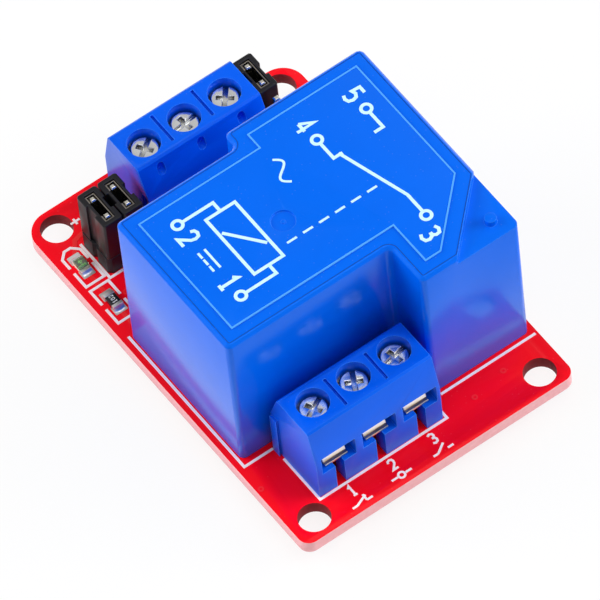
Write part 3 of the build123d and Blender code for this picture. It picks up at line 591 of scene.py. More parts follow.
# %% Strokes as thin solid films
hair_step = 0.0008 * mm
hair_steps = 13
mitre_limit = 0.35


def side_steps(points, closed):
    """For each point, the mitred sideways step for a half width of one."""
    count = len(points)
    steps = []
    for i, here in enumerate(points):
        before = points[i - 1] if closed or i else here
        after = points[(i + 1) % count] if closed or i < count - 1 else here
        first = (here - before).normalized() if (here - before).length else (after - here).normalized()
        second = (after - here).normalized() if (after - here).length else first
        left_first = Vector((-first.y, first.x))
        left_second = Vector((-second.y, second.x))
        across = (left_first + left_second).normalized()
        steps.append(across / max(across.dot(left_second), mitre_limit))
    return steps


def join_loops(bm, first, second):
    """Skin between two closed loops that have the same number of vertices."""
    for i in range(len(first)):
        j = (i + 1) % len(first)
        bm.faces.new((first[i], second[i], second[j], first[j]))


def stroke(bm, points, width, z, rise, closed=False):
    """A raised ribbon along points, closed on all sides. Each is a hair thicker than the one before,
    so where two cross, their faces never coincide."""
    ribbons = len(bm.verts) // 8
    hair = hair_step * (ribbons % hair_steps)
    z -= hair
    rise += 2 * hair
    flat = [Vector(p[:2]) for p in points]
    rings = []
    for point, step in zip(flat, side_steps(flat, closed)):
        left = point + step * width / 2
        right = point - step * width / 2
        ring = [(right.x, right.y, z), (left.x, left.y, z), (left.x, left.y, z + rise),
                (right.x, right.y, z + rise)]
        rings.append([bm.verts.new(v) for v in ring])
    for before, after in zip(rings, rings[1:]):
        join_loops(bm, before, after)
    if closed:
        join_loops(bm, rings[-1], rings[0])
    else:
        bm.faces.new(rings[0])
        bm.faces.new(list(reversed(rings[-1])))


def plate(bm, outline, z, rise):
    """A flat closed film with the given outline."""
    low, high = ([bm.verts.new((x, y, level)) for x, y in outline] for level in (z, z + rise))
    bm.faces.new(list(reversed(low)))
    bm.faces.new(high)
    join_loops(bm, high, low)


def arc(centre, radius, start, end, count):
    """Points on an arc, angles in degrees."""
    angles = [math.radians(start + (end - start) * i / count) for i in range(count + 1)]
    return [(centre[0] + radius * math.cos(a), centre[1] + radius * math.sin(a)) for a in angles]


def finish_piece(bm, name, material, body="root"):
    """Turn the bmesh into a piece with a material that rides on a body."""
    bmesh.ops.recalc_face_normals(bm, faces=bm.faces)
    mesh = bpy.data.meshes.new(name)
    bm.to_mesh(mesh)
    bm.free()
    piece = bpy.data.objects.new(name, mesh)
    scene.collection.objects.link(piece)
    mesh.materials.append(material)
    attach(piece, body)
    print(name, len(mesh.polygons), "faces")
    return piece


def solder_piece(bm, name):
    return finish_piece(bm, name, finishes["solder"])


def beside(place, x, y):
    """A place in plan, moved by x and y millimetres."""
    return (place[0] + x * mm, place[1] + y * mm)


print("stroke helpers ready")

# %% [markdown]
# Board ink is a matt white epoxy, screened through a mesh, so its edge is slightly ragged and
# its film thin enough to take a little of the red below. The relay's print is pad-printed and crisper.

# %% Ink
def ink(name, colour, thin, scale):
    """Printed ink: full colour where the film is thick, thin where the ground shows through."""
    material, tree = new_material(name)
    texture = use_group(tree, grain, Fine_Scale=scale, Wide_Scale=1500.0)
    cover = remap(tree, texture["Tone"], 0.45, 0.75)
    principled(tree, {
        "Base Color": mixed_colour(tree, cover, colour, thin),
        "Roughness": remap(tree, texture["Height"], 0.0, 1.0, 0.4, 0.6),
        "Normal": bumped(tree, texture["Height"], 0.006)})
    return material


board_ink = ink("board_ink", (1.0, 0.9, 0.9), (0.98, 0.8, 0.8), 4000.0)
relay_ink = ink("relay_ink", (0.62, 0.9, 0.97), (0.5, 0.82, 0.95), 5000.0)
print("inks ready")

# %% [markdown]
# Figures are strokes too, set out in a box that is one unit high and one wide. No stroke crosses
# itself, and a figure that needs a crossing has two strokes.

# %% Numbers drawn as strokes
figure_strokes = {
    "0": [[(0.5, 1.0), (0.2, 0.88), (0.1, 0.5), (0.2, 0.12), (0.5, 0.0), (0.8, 0.12), (0.9, 0.5), (0.8, 0.88),
           (0.5, 1.0)]],
    "1": [[(0.2, 0.8), (0.5, 1.0), (0.5, 0.0)], [(0.2, 0.0), (0.8, 0.0)]],
    "2": [[(0.1, 0.75), (0.2, 0.93), (0.5, 1.0), (0.8, 0.93), (0.9, 0.72), (0.8, 0.5), (0.1, 0.0), (0.9, 0.0)]],
    "3": [[(0.1, 0.9), (0.45, 1.0), (0.8, 0.9), (0.85, 0.7), (0.7, 0.55), (0.4, 0.53)],
          [(0.4, 0.53), (0.75, 0.48), (0.9, 0.28), (0.8, 0.08), (0.45, 0.0), (0.1, 0.1)]],
    "4": [[(0.7, 0.0), (0.7, 1.0), (0.1, 0.32)], [(0.1, 0.32), (0.95, 0.32)]],
    "5": [[(0.85, 1.0), (0.2, 1.0), (0.15, 0.55), (0.5, 0.62), (0.8, 0.52), (0.9, 0.3), (0.78, 0.08),
           (0.45, 0.0), (0.1, 0.08)]],
    "+": [[(0.1, 0.5), (0.9, 0.5)], [(0.5, 0.15), (0.5, 0.85)]],
    "-": [[(0.1, 0.5), (0.9, 0.5)]],
}
figure_width = 0.62
figure_step = 0.85
ring_sides = 24


def draw_number(bm, text, centre, height, width, z, rise, turn_degrees=0.0):
    """Figures centred on a place, with their baseline turned from +X; height is in metres."""
    turn = Matrix.Rotation(math.radians(turn_degrees), 2)
    step = height * figure_step
    start = -((len(text) - 1) * step + height * figure_width) / 2
    for place, figure in enumerate(text):
        for line in figure_strokes[figure]:
            points = []
            for u, v in line:
                local = turn @ Vector((start + place * step + u * height * figure_width, (v - 0.5) * height))
                points.append((centre[0] + local.x, centre[1] + local.y))
            stroke(bm, points, width, z, rise)


def round_points(centre, radius):
    """Corners of a full round."""
    return arc(centre, radius, 0, 360 - 360 / ring_sides, ring_sides - 1)


def draw_ring(bm, centre, radius, width, z, rise):
    """A printed ring."""
    stroke(bm, round_points(centre, radius), width, z, rise, closed=True)


print("figures:", "".join(sorted(figure_strokes)))

# %% [markdown]
# The board's print frames each part, so that whoever fits it sees where it goes. The frames stand a
# fraction of a millimetre outside the parts' own boxes, and the terminals are only numbered.

# %% Frames printed on the board
line_width = 0.3 * mm
row_line = 0.2 * mm
ink_rise = 0.03 * mm
board_film = (board_top, ink_rise)
frame_half_x = 1.14 * mm
frame_half_y = 2.5 * mm
frame_opening = 0.35 * mm
frame_cut = 0.75 * mm
chip_half = 0.6 * mm
first_lead_radius = 0.25 * mm
first_lead_line = 0.18 * mm


def board_print():
    """Long lines beside the relay, the terminals and the headers."""
    bm = bmesh.new()
    left = relay_low.x - 0.3 * mm
    front = stem_front - 0.77 * mm
    bar_front = relay_low.y - 0.55 * mm
    box_left = output_left - 0.12 * mm
    box_right = output_high.x + 0.33 * mm
    box_front = output_low.y - 0.22 * mm
    input_back = input_high.y + 0.3 * mm
    selector_low, selector_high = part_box("selector_header_body")
    selector_left = selector_low.x - 0.2 * mm
    selector_front = selector_low.y - 0.25 * mm
    rear_low, rear_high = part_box("rear_header_body")
    rear_left = rear_low.x + 0.4 * mm
    rear_right = rear_high.x + 0.3 * mm
    rear_front = rear_low.y - 0.3 * mm
    rear_back = rear_high.y + 0.3 * mm
    lines = [
        [(left + 3.6 * mm, front), (left, front), (left, stem_back - 0.1 * mm)],
        [(bar_left + 0.5 * mm, bar_front), (relay_high.x + 0.3 * mm, bar_front)],
        [(box_left, output_high.y - 1.8 * mm), (box_left, box_front), (box_right, box_front),
         (box_right, output_high.y - 1 * mm)],
        [(input_low.x, input_back), (input_high.x - 0.4 * mm, input_back)],
        [(selector_left, selector_high.y), (selector_left, selector_front),
         (selector_low.x + 1.7 * mm, selector_front)],
        [(rear_left, rear_front), (rear_right, rear_front), (rear_right, rear_back), (rear_left, rear_back)],
    ]
    for line in lines:
        stroke(bm, line, line_width, *board_film)
    finish_piece(bm, "board_print", board_ink)


def half_frame(centre, side, cut):
    """One end of a small part's frame, with its far corners cut; side is -1 or 1 along Y."""
    inner = centre.y + side * frame_opening
    end = centre.y + side * frame_half_y
    left = centre.x - frame_half_x
    right = centre.x + frame_half_x
    if cut:
        return [(left, inner), (left, end - side * cut), (left + cut, end), (right - cut, end),
                (right, end - side * cut), (right, inner)]
    return [(left, inner), (left, end), (right, end), (right, inner)]


def light_resistor():
    """Middle of the resistor that stands in line with the signal light, in plan."""
    return Vector((middle("signal_led_lens").x, side_of("chip_resistors", 1, 0) + chip_half))


def small_part_frames():
    """Frames round the signal light and its resistor, with a gap at the middle of each long side."""
    bm = bmesh.new()
    for centre, far_cut in ((middle("signal_led_lens"), frame_cut), (light_resistor(), 0.0)):
        for side, cut in ((-1, 0.0), (1, far_cut)):
            stroke(bm, half_frame(centre, side, cut), line_width, *board_film)
    finish_piece(bm, "small_part_frames", board_ink)


def row_frames():
    """Short lines beside the packages that stand behind the relay, and the first lead's ring."""
    bm = bmesh.new()
    for node, gap in (("coupler_body", 0.35), ("diode_body", 0.35), ("transistor_body", 0.3)):
        low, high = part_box(node)
        for y in (low.y - gap * mm, high.y + gap * mm):
            stroke(bm, [(low.x, y), (high.x, y)], row_line, *board_film)
    corner = (side_of("coupler_body", 0, 0), side_of("coupler_body", 1, 0))
    draw_ring(bm, beside(corner, -0.6, -0.5), first_lead_radius, first_lead_line, *board_film)
    finish_piece(bm, "row_frames", board_ink)


board_print()
small_part_frames()
row_frames()

# %% [markdown]
# The real board has words beside its terminals. Here each pole gets a plain number and a small
# contact sign that says the same: a lever that touches, a joint, and a lever that stands open.

# %% Terminal numbers and contact signs
label_width = 0.24 * mm
number_height = 1.25 * mm
number_shift = -1.35
sign_shift = -2.95
input_number_height = 0.8 * mm
input_number_width = 0.15 * mm
plus_height = 1.6 * mm
joint_radius = 0.36 * mm
sign_lines = {
    "closed": [[(-1.25, -0.25), (-0.65, -0.25)], [(0.55, -0.25), (1.25, -0.25)],
               [(-0.65, -0.25), (0.75, 0.35)], [(0.55, -0.25), (0.55, 0.55)]],
    "joint": [[(0.5, 0), (1.25, 0)], [(-1.25, 0), (-0.5, 0)]],
    "open": [[(-1.25, -0.25), (-0.65, -0.25)], [(0.55, -0.25), (1.25, -0.25)],
             [(-0.65, -0.25), (0.5, 0.55)]],
}


def contact_sign(bm, centre, kind):
    """Small sign, 2.5 mm wide: kind is closed, joint or open."""
    if kind == "joint":
        draw_ring(bm, centre, joint_radius, label_width, *board_film)
    for line in sign_lines[kind]:
        stroke(bm, [beside(centre, x, y) for x, y in line], label_width, *board_film)


def terminal_labels():
    """Number and sign before each output pole, number behind each input pole, plus and minus."""
    bm = bmesh.new()
    for pole, kind in zip("123", ("closed", "joint", "open")):
        place = (middle(f"output_screw_{pole}").x + 0.25 * mm, output_low.y)
        draw_number(bm, pole, beside(place, 0, number_shift), number_height, label_width, *board_film)
        contact_sign(bm, beside(place, 0, sign_shift), kind)
        place = (middle(f"input_screw_{pole}").x, input_high.y)
        draw_number(bm, pole, beside(place, 0, 0.95), input_number_height, input_number_width, *board_film, 180)
    selector = middle("selector_header_body")
    for sign, x in (("+", -1.5), ("-", 0.6)):
        draw_number(bm, sign, beside(selector, x, 5.2), plus_height, label_width, *board_film, -90)
    finish_piece(bm, "terminal_labels", board_ink)


terminal_labels()

# %% [markdown]
# The relay's top carries a wiring sketch instead of words: the coil as a box, the common blade that
# moves from one contact to the other, and a plain number at each pin. It reads from the relay's
# right side, as the print on the real one does.

# %% Wiring sketch on the relay
panel_top = side_of("relay_case", 2, 1)
panel_film = (panel_top, 0.02 * mm)
legend_line = 0.36 * mm
legend_fine = 0.26 * mm
legend_ring = 0.55 * mm
legend_height = 2.1 * mm


def on_relay(x, y):
    """A place on the relay's top, in millimetres from the case's left front corner."""
    return beside(relay_low, x, y)


def legend_path(bm, points, width=legend_line, closed=False):
    stroke(bm, [on_relay(x, y) for x, y in points], width, *panel_film, closed)


def legend_terminal(bm, x, y, text, shift):
    """Ring for a pin with its number beside it."""
    draw_ring(bm, on_relay(x, y), legend_ring, legend_line, *panel_film)
    centre = on_relay(x + shift[0], y + shift[1])
    draw_number(bm, text, centre, legend_height, legend_line, *panel_film, -90)


def coil_sketch(bm):
    """Coil box with its slash, a lead to each coil pin, and the sign for direct current."""
    legend_path(bm, [(7.4, 11.2), (11.0, 11.2), (11.0, 19.6), (7.4, 19.6)], closed=True)
    legend_path(bm, [(7.75, 17.3), (10.65, 13.5)])
    for y, start in ((9.9, 11.2), (20.9, 19.6)):
        legend_path(bm, [(9.2, start), (9.2, y), (5.35, y)])
    for y, text, shift in ((9.9, "1", 2.0), (20.9, "2", -2.0)):
        legend_terminal(bm, 4.8, y, text, (0.0, shift))
    legend_path(bm, [(5.2, 14.0), (5.2, 16.8)], legend_fine)
    for y in (14.0, 15.0, 16.0):
        legend_path(bm, [(4.4, y), (4.4, y + 0.8)], legend_fine)


def contact_sketch(bm):
    """Changeover contact: the lever rests on contact 4 and can swing to contact 5."""
    legend_path(bm, [(25.2, 6.75), (25.2, 9.4), (22.75, 17.9)])
    legend_path(bm, [(22.0, 20.05), (22.0, 17.7), (23.1, 17.7)])
    legend_path(bm, [(28.2, 20.05), (28.2, 17.7), (27.1, 17.7)])
    for x, y, text, shift in ((25.2, 6.2, "3", (-1.0, -2.1)), (22.0, 20.6, "4", (0.0, 2.2)),
                              (28.2, 20.6, "5", (0.0, 2.2))):
        legend_terminal(bm, x, y, text, shift)
    for dash in range(6):
        x = 12.2 + dash * 2.0
        legend_path(bm, [(x, 12.2), (x + 1.2, 12.2)], legend_fine)
    wave = [(17.0 + 0.75 * math.sin(math.radians(15 * i)), 21.4 - i * 0.14) for i in range(25)]
    legend_path(bm, wave, legend_fine)


def relay_legend():
    bm = bmesh.new()
    coil_sketch(bm)
    contact_sketch(bm)
    finish_piece(bm, "relay_legend", relay_ink)


relay_legend()

# %% [markdown]
# The cover's top has a slightly raised panel, and the light catches its edge all the way round. A
# thin bead along the panel's outline, paler than the cover, paints that highlight, and a thin dark
# line a little inside the cover's own edge carries the line beside it. Both outlines are read from the CAD faces.

# %% Bead and dark line on the relay's top
same_place = 0.001 * mm
level_slack = 0.002 * mm
straight_enough = 0.01
border_depth = 0.8 * mm
border_slack = 0.01 * mm
bead_width = 0.16 * mm
bead_depth = 0.1 * mm
bead_height = 0.125 * mm
dark_line_inset = 0.17 * mm
dark_line_width = 0.1 * mm
dark_line_depth = 0.05 * mm
dark_line_height = 0.056 * mm


def outline_at(node, level):
    """Outer loop of the faces that lie at a level of a node, as plan points without the straight ones."""
    bm = bmesh.new()
    bm.from_mesh(nodes[node].data)
    bmesh.ops.remove_doubles(bm, verts=bm.verts, dist=same_place)
    flat = [face for face in bm.faces if all(abs(v.co.z - level) < level_slack for v in face.verts)]
    inside = set(flat)
    after = {}
    for face in flat:
        for loop in face.loops:
            if not any(other in inside for other in loop.edge.link_faces if other is not face):
                after[loop.vert.index] = loop.link_loop_next.vert.index
    places = {v.index: v.co.xy.copy() for v in bm.verts}
    bm.free()
    loops = []
    while after:
        start, here = after.popitem()
        loop = [start]
        while here != start:
            loop.append(here)
            here = after.pop(here)
        loops.append([places[i] for i in loop])
    outline = max(loops, key=lambda loop: sum((a - b).length for a, b in zip(loop, loop[1:] + loop[:1])))
    corners = []
    for i, here in enumerate(outline):
        before = (here - outline[i - 1]).normalized()
        following = (outline[(i + 1) % len(outline)] - here).normalized()
        if abs(before.cross(following)) > straight_enough:
            corners.append(here)
    return corners


def border_level():
    """Level of the border round the panel: the widest flat just below the top."""
    areas = {}
    for face in nodes["relay_case"].data.polygons:
        z = round(face.center.z / mm, 3)
        if face.normal.z > 0.99 and border_slack < panel_top - face.center.z < border_depth:
            areas[z] = areas.get(z, 0) + face.area
    return max(areas, key=areas.get) * mm


def panel_bead():
    """Thin pale line, a painted highlight, that stands a little above the raised panel's edge."""
    bm = bmesh.new()
    outline = outline_at("relay_case", panel_top)
    stroke(bm, outline, bead_width, panel_top - bead_depth, bead_height, closed=True)
    finish_piece(bm, "panel_bead", bead_highlight_blue)


def border_dark_line():
    """Thin dark line a little inside the cover's edge."""
    bm = bmesh.new()
    level = border_level()
    outline = outline_at("relay_case", level)
    area = sum(a.cross(b) for a, b in zip(outline, outline[1:] + outline[:1]))
    inward = dark_line_inset * (1 if area > 0 else -1)
    inner = [point + step * inward for point, step in zip(outline, side_steps(outline, True))]
    stroke(bm, inner, dark_line_width, level - dark_line_depth, dark_line_height, closed=True)
    print("border at", round(level / mm, 3), "mm,", len(outline), "corners")
    finish_piece(bm, "border_dark_line", dark_line_blue)


# The bead's pale blue is a painted highlight.
bead_highlight_blue = plastic("bead_highlight_blue", (0.08, 0.38, 0.95), (0.05, 0.32, 0.9), (0.15, 0.5, 1.0), (0.15, 0.25))
dark_line_blue = plastic("dark_line_blue", (0.0, 0.05, 0.36), (0.0, 0.04, 0.3), (0.0, 0.07, 0.45), (0.3, 0.4))
panel_bead()
border_dark_line()

# %% [markdown]
# Inside the cover the coil is fine wire laid turn beside turn. A turned profile with one round for
# each turn stands in for it, between the bobbin's flanges.

# %% Wound coil
turn_pitch = 0.32 * mm
turn_groove = 0.05 * mm
turn_steps = 4
coil_sides = 64


def skin_rings(bm, loops):
    """Skin over loops that follow each other round and close on the first, like a tyre."""
    rings = [[bm.verts.new(p) for p in loop] for loop in loops]
    for i, ring in enumerate(rings):
        join_loops(bm, ring, rings[(i + 1) % len(rings)])


def wound_coil():
    low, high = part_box("relay_winding")
    centre = (low + high) / 2
    outer = (high.x - low.x) / 2
    inner = min((p.xy - centre.xy).length for p in points_of("relay_winding"))
    count = int((high.z - low.z) / turn_pitch) * turn_steps
    profile = [(inner, high.z), (inner, low.z)]
    for i in range(count + 1):
        z = low.z + (high.z - low.z) * i / count
        profile.append((outer - turn_groove * abs(math.cos(math.pi * i / turn_steps)), z))
    bm = bmesh.new()
    angles = [math.tau * j / coil_sides for j in range(coil_sides)]
    skin_rings(bm, [[(centre.x + radius * math.cos(a), centre.y + radius * math.sin(a), z) for a in angles]
                    for radius, z in profile])
    piece = finish_piece(bm, "wound_coil", finishes["copper_wire"])
    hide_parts("relay_winding")


wound_coil()

# %% [markdown]
# Solder, pads and tracks all start from where the leads really are, so those places are measured on
# the frame: each CAD node is split into its solids, and the lowest face of a solid is its foot.

# %% Where leads and small parts stand
foot_slack = 0.01 * mm


def solids_in(node):
    """Box and foot box of each separate solid in a CAD node, as (low, high, foot_low, foot_high)."""
    bm = bmesh.new()
    bm.from_mesh(nodes[node].data)
    bmesh.ops.remove_doubles(bm, verts=bm.verts, dist=same_place)
    seen = set()
    found = []
    for start in bm.verts:
        if start in seen:
            continue
        seen.add(start)
        waiting = [start]
        island = []
        while waiting:
            vertex = waiting.pop()
            island.append(vertex.co.copy())
            for edge in vertex.link_edges:
                other = edge.other_vert(vertex)
                if other not in seen:
                    seen.add(other)
                    waiting.append(other)
        lowest = min(p.z for p in island)
        foot = [p for p in island if p.z < lowest + foot_slack]
        found.append((*span_of(island), *span_of(foot)))
    bm.free()
    return found


def span_of(points):
    """Lowest and highest corner of the box round points."""
    low = Vector([min(p[i] for p in points) for i in range(3)])
    high = Vector([max(p[i] for p in points) for i in range(3)])
    return low, high


round_nodes = ["relay_coil_pins"]
square_nodes = ["relay_closed_terminal", "relay_open_terminal", "relay_common_terminal", "selector_header_pins",
                "rear_header_pins"]
square_nodes += [f"{block}_cage_{pole}" for block in ("output", "input") for pole in (1, 2, 3)]
feet = [(foot_low, foot_high, node in round_nodes) for node in round_nodes + square_nodes
        for _, _, foot_low, foot_high in solids_in(node)]
print("leads through the board:", len(feet))

# %% [markdown]
# Solder wets both metal surfaces, so its free surface is hollow: wide and thin on the pad, and
# drawn up along the lead. A collar made of rounded loops, each smaller and further out than the
# one before, has that shape on a round pin, a square pin or a flat strip alike.

# %% Solder collars and pads
copper_film = 0.035 * mm
solder_land = 0.6 * mm
pad_margin = 0.14 * mm
lead_corner = 0.02 * mm
collar_tip = 0.05 * mm
collar_steps = 7
collar_curve = 2.4
smooth_angle = 50
solder_low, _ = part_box("solder_joints")


def rounded_loop(low, high, grow, corner, z, count=6):
    """Points round a box's plan that is grown by grow, with rounded corners, all at level z."""
    half_x = (high.x - low.x) / 2 + grow
    half_y = (high.y - low.y) / 2 + grow
    centre = (low + high) / 2
    corner = min(corner + grow, half_x, half_y)
    points = []
    for quarter, (sx, sy) in enumerate(((1, 1), (-1, 1), (-1, -1), (1, -1))):
        for i in range(count):
            angle = math.radians(90 * quarter + 90 * i / (count - 1))
            points.append((centre.x + sx * (half_x - corner) + corner * math.cos(angle),
                           centre.y + sy * (half_y - corner) + corner * math.sin(angle), z))
    return points


def rounded_plate(bm, low, high, grow, corner, z, rise):
    """Flat film over a box's plan that is grown by grow, with rounded corners."""
    plate(bm, [point[:2] for point in rounded_loop(low, high, grow, corner, 0, 4)], z, rise)


def wrap_lead(bm, low, high, is_round, profile):
    """Skin round a lead; profile is a closed list of (distance from the lead, level)."""
    corner = (high.x - low.x) / 2 if is_round else lead_corner
    skin_rings(bm, [rounded_loop(low, high, grow, corner, z) for grow, z in profile])


def solder_under_board():
    """Hollow-faced solder round every lead, from the pad down to the lead's end."""
    bm = bmesh.new()
    base = board_bottom - copper_film
    rise = solder_low.z - base
    profile = []
    for i in range(collar_steps + 1):
        t = i / collar_steps
        profile.append((collar_tip + (solder_land - collar_tip) * (1 - t) ** collar_curve, base + rise * t))
    profile += [(-lead_corner, base + rise), (-lead_corner, base)]
    for foot in feet:
        wrap_lead(bm, *foot, profile)
    piece = solder_piece(bm, "solder_fillets")
    smooth(piece)
    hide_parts("solder_joints")


def pads_under_board():
    """Flat copper ring round every lead."""
    bm = bmesh.new()
    z = board_bottom - copper_film
    outer = solder_land + pad_margin
    for foot in feet:
        wrap_lead(bm, *foot, [(outer, z), (outer, z + copper_film), (lead_corner, z + copper_film),
                              (lead_corner, z)])
    solder_piece(bm, "pads_below")


def smooth(piece):
    """Shade a piece smooth, except across sharp bends."""
    for face in piece.data.polygons:
        face.use_smooth = True
    piece.data.set_sharp_from_angle(angle=math.radians(smooth_angle))


solder_under_board()
pads_under_board()

# %% [markdown]
# A chip's pad reaches a little past its metal end, and there the solder forms a short concave ramp.
# Its height falls off steeply and then runs out flat, and its width narrows towards the toe.

# %% Solder at the chips' ends
pad_inside = 0.12 * mm
pad_outside = 0.62 * mm
pad_side = 0.1 * mm
ramp_reach = 0.55 * mm
ramp_across = 8
ramp_along = 7
ramp_curve = 2.6
ramp_side_fall = 0.25
ramp_below_top = 0.04 * mm
ramp_side = 0.02 * mm
toe_rise = 0.012 * mm
toe_narrowing = 0.12
toe_rounding = 0.35
foot_margin = 0.16 * mm
foot_corner = 0.05 * mm
foot_film = 0.02 * mm


def chip_ends():
    """Ends of the chips and lights as (low, high, side), side being the way it faces along Y."""
    boxes = sorted(((low, high) for low, high, _, _ in solids_in("chip_end_caps")),
                   key=lambda box: (round(box[0].x / mm, 1), box[0].y))
    return [(*box, 1 if i % 2 else -1) for i, box in enumerate(boxes)]


def chip_pad(bm, low, high, side, z):
    """Copper pad under one end, longer on the outside."""
    inner = (high.y if side < 0 else low.y) - side * pad_inside
    outer = (low.y if side < 0 else high.y) + side * pad_outside
    pad_low = Vector((low.x - pad_side, min(inner, outer), 0))
    pad_high = Vector((high.x + pad_side, max(inner, outer), 0))
    rounded_plate(bm, pad_low, pad_high, 0, pad_side, z, copper_film)


def rim(grid):
    """Outer vertices of a grid of rows, in order round it."""
    return grid[0] + [row[-1] for row in grid[1:]] + grid[-1][-2::-1] + [row[0] for row in grid[-2:0:-1]]


def chip_ramp(bm, low, high, side, base):
    """Solder from the end face down to the pad's toe."""
    face_y = low.y if side < 0 else high.y
    top = high.z - ramp_below_top
    middle_x = (low.x + high.x) / 2
    half = (high.x - low.x) / 2 - ramp_side
    upper = []
    for i in range(ramp_along + 1):
        t = i / ramp_along
        row = []
        for j in range(ramp_across + 1):
            u = 2 * j / ramp_across - 1
            x = middle_x + u * half * (1 - toe_narrowing * t * t)
            y = face_y + side * ramp_reach * t * math.sqrt(1 - toe_rounding * u * u)
            fall = (1 - t) ** ramp_curve * (1 - ramp_side_fall * u * u)
            row.append(bm.verts.new((x, y, base + toe_rise + (top - base) * fall)))
        upper.append(row)
    lower = [[bm.verts.new((v.co.x, v.co.y, base)) for v in row] for row in upper]
    for grid in (upper, lower):
        for row, after in zip(grid, grid[1:]):
            for j in range(ramp_across):
                bm.faces.new((row[j], row[j + 1], after[j + 1], after[j]))
    join_loops(bm, rim(upper), rim(lower))


def chip_solder():
    bm = bmesh.new()
    for low, high, side in chip_ends():
        chip_pad(bm, low, high, side, board_top)
        chip_ramp(bm, low, high, side, board_top + copper_film)
    smooth(solder_piece(bm, "chip_solder"))


def package_solder():
    """Thin pads under the bent leads' feet."""
    bm = bmesh.new()
    for _, _, foot_low, foot_high in solids_in("small_package_leads"):
        rounded_plate(bm, foot_low, foot_high, foot_margin, foot_corner, board_top, foot_film)
    solder_piece(bm, "package_pads")


chip_solder()
package_solder()

# %% [markdown]
# Parts this small still carry marks: a resistor's value in three figures, the band that shows which
# way a diode lies, and the dot at an optocoupler's first lead. The light's die is a bright
# speck under the resin, and it gives the lens its green heart.

# %% Marks on small parts
value_height = 0.44 * mm
value_line = 0.075 * mm
value_rise = 0.008 * mm
mark_rise = 0.01 * mm
band_inset = 0.4 * mm
band_width = 0.6 * mm
dot_radius = 0.3 * mm
die_corner = 0.04 * mm
die_rise = 0.12 * mm
arrow_line = 0.13 * mm
arrow_rise = 0.02 * mm
die_half = Vector((0.14 * mm, 0.14 * mm, 0))
arrow_strokes = [[(-0.42, -0.3), (0.42, -0.3)], [(0, -0.3), (0, 0.5)], [(-0.25, 0.1), (0, 0.4), (0.25, 0.1)]]
mark_paint = ink("mark_paint", (0.8, 0.8, 0.78), (0.62, 0.62, 0.6), 9000.0)
die_green = plastic("die_green", (0.1, 0.5, 0.1), (0.06, 0.38, 0.06), (0.3, 0.7, 0.25), (0.25, 0.4))


def resistor_values():
    bm = bmesh.new()
    for low, high, _, _ in solids_in("chip_resistors"):
        draw_number(bm, "102", (low + high) / 2, value_height, value_line, high.z, value_rise, 90)
    finish_piece(bm, "resistor_values", mark_paint)


def package_marks():
    """Band across the diode and dot at the coupler's first lead."""
    bm = bmesh.new()
    low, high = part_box("diode_body")
    band_x = low.x + 0.95 * mm
    band = [(band_x, low.y + band_inset), (band_x, high.y - band_inset)]
    stroke(bm, band, band_width, high.z, mark_rise)
    low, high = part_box("coupler_body")
    plate(bm, round_points(beside(low, 0.75, 0.75), dot_radius), high.z, mark_rise)
    finish_piece(bm, "package_marks", mark_paint)


def light_dies():
    """Bright die and green arrow under each light's resin."""
    bm = bmesh.new()
    for node in ("signal_led", "power_led"):
        base_low, base_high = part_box(f"{node}_base")
        centre = (base_low + base_high) / 2
        rounded_plate(bm, centre - die_half, centre + die_half, 0, die_corner, base_high.z, die_rise)
        for points in arrow_strokes:
            stroke(bm, [beside(centre, x, y) for x, y in points], arrow_line, base_high.z, arrow_rise)
    finish_piece(bm, "light_dies", die_green)


resistor_values()
package_marks()
light_dies()

# %% [markdown]
# Under the mask the thin tracks stand up as low ridges. The load's three wide tracks below the board
# carry up to 30 amperes, so their mask is left open and they are flooded with solder, which thickens
# them.

# %% Tracks
track_rise = 0.025 * mm
upper_width = 0.5 * mm
lower_width = 0.7 * mm
power_rise = 0.22 * mm
power_edge = 0.15 * mm
via_radius = 0.24 * mm
via_line = 0.2 * mm


def track_finish():
    """Red mask over copper: the same lacquer, a shade warmer and smoother."""
    material, tree = new_material("covered_copper")
    texture = use_group(tree, grain, Fine_Scale=2500.0, Wide_Scale=140.0)
    principled(tree, {
        "Base Color": mixed_colour(tree, texture["Tone"], (1.0, 0.03, 0.03), (0.95, 0.015, 0.02)),
        "Roughness": remap(tree, texture["Height"], 0.0, 1.0, 0.18, 0.28),
        "Specular IOR Level": 0.3,
        "Normal": bumped(tree, texture["Height"], 0.002)})
    return material


covered_copper = track_finish()


def foot_centre(node, index=0):
    """Middle of a lead's foot, in plan."""
    _, _, foot_low, foot_high = solids_in(node)[index]
    return tuple(((foot_low + foot_high) / 2).xy)


def power_tracks():
    """Three wide soldered tracks from the relay's contacts to the output poles."""
    bm = bmesh.new()
    poles = [foot_centre(f"output_cage_{n}") for n in (1, 2, 3)]
    common, opened, closed = (foot_centre(f"relay_{name}_terminal") for name in ("common", "open", "closed"))
    bend = beside(closed, 0, 6.5)
    routes = [
        ([common, beside(common, 0, -5), beside(poles[1], 0, 3), poles[1]], 3.0),
        ([opened, beside(opened, -0.5, -9), beside(poles[2], 5, 0), poles[2]], 3.4),
        ([closed, bend, (poles[0][0], bend[1]), poles[0]], 2.6),
    ]
    for points, width in routes:
        stroke(bm, points, width * mm, board_bottom - power_rise, power_rise)
    add_modifier(solder_piece(bm, "power_tracks"), "edges", "BEVEL", width=power_edge, segments=3)


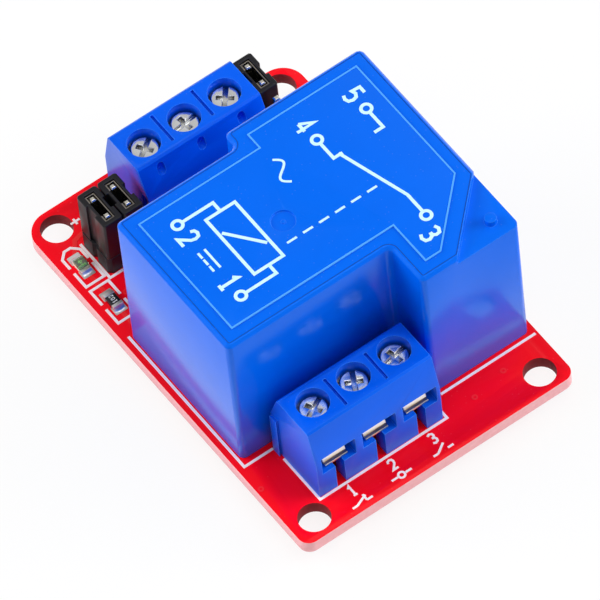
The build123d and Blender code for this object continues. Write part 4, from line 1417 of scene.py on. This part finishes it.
def signal_tracks():
    """Thin tracks on both faces, under the mask."""
    bm = bmesh.new()
    lamp = middle("signal_led_lens")
    resistor = light_resistor()
    selector = foot_centre("selector_header_pins")
    rear = foot_centre("rear_header_pins")
    inputs = [foot_centre(f"input_cage_{n}") for n in (1, 2, 3)]
    coil = [foot_centre("relay_coil_pins", i) for i in range(2)]
    upper = [
        [beside(lamp, 0, -0.9), beside(resistor, 0, 0.9)],
        [beside(lamp, 0, 1.2), beside(lamp, 1.3, 3.0), (selector[0], lamp.y + 3.4 * mm)],
        [beside(resistor, 0, -1.2), beside(resistor, 0, -3.2), (relay_low.x + 3 * mm, resistor.y - 6 * mm)],
    ]
    lower = [
        [inputs[0], beside(inputs[0], 0, -8), (coil[1][0], inputs[0][1] - 12 * mm), coil[1]],
        [inputs[1], beside(inputs[1], 0, -5), (coil[0][0] - 2 * mm, inputs[1][1] - 9 * mm),
         beside(coil[0], -2, 2), coil[0]],
        [inputs[2], beside(inputs[2], -2, -2.5), selector],
        [rear, beside(rear, -2, -4), (inputs[0][0], rear[1] - 4 * mm)],
    ]
    for points in upper:
        stroke(bm, points, upper_width, board_top, track_rise)
    for points in lower:
        stroke(bm, points, lower_width, board_bottom - track_rise, track_rise)
    finish_piece(bm, "signal_tracks", covered_copper)


def vias():
    """Small plated holes, closed by the mask: a low ring with a dimple."""
    bm = bmesh.new()
    lamp = middle("signal_led_lens")
    row_y = middle("coupler_body").y
    places = [
        (relay_low.x - 0.55 * mm, stem_front - 4 * mm), beside(lamp, 1.75, -5.5),
        (bar_left + 3 * mm, relay_low.y - 3.0 * mm), (relay_high.x - 5 * mm, relay_low.y - 2.2 * mm),
        (relay_low.x + 2 * mm, row_y), (relay_high.x - 3 * mm, row_y + 1.5 * mm),
        (relay_high.x - 2.5 * mm, input_low.y + 1 * mm),
    ]
    for place in places:
        for z in (board_top, board_bottom - track_rise):
            draw_ring(bm, place, via_radius, via_line, z, track_rise)
    finish_piece(bm, "vias", covered_copper)


power_tracks()
signal_tracks()
vias()

# %% [markdown]

# %% End
print("scene built")
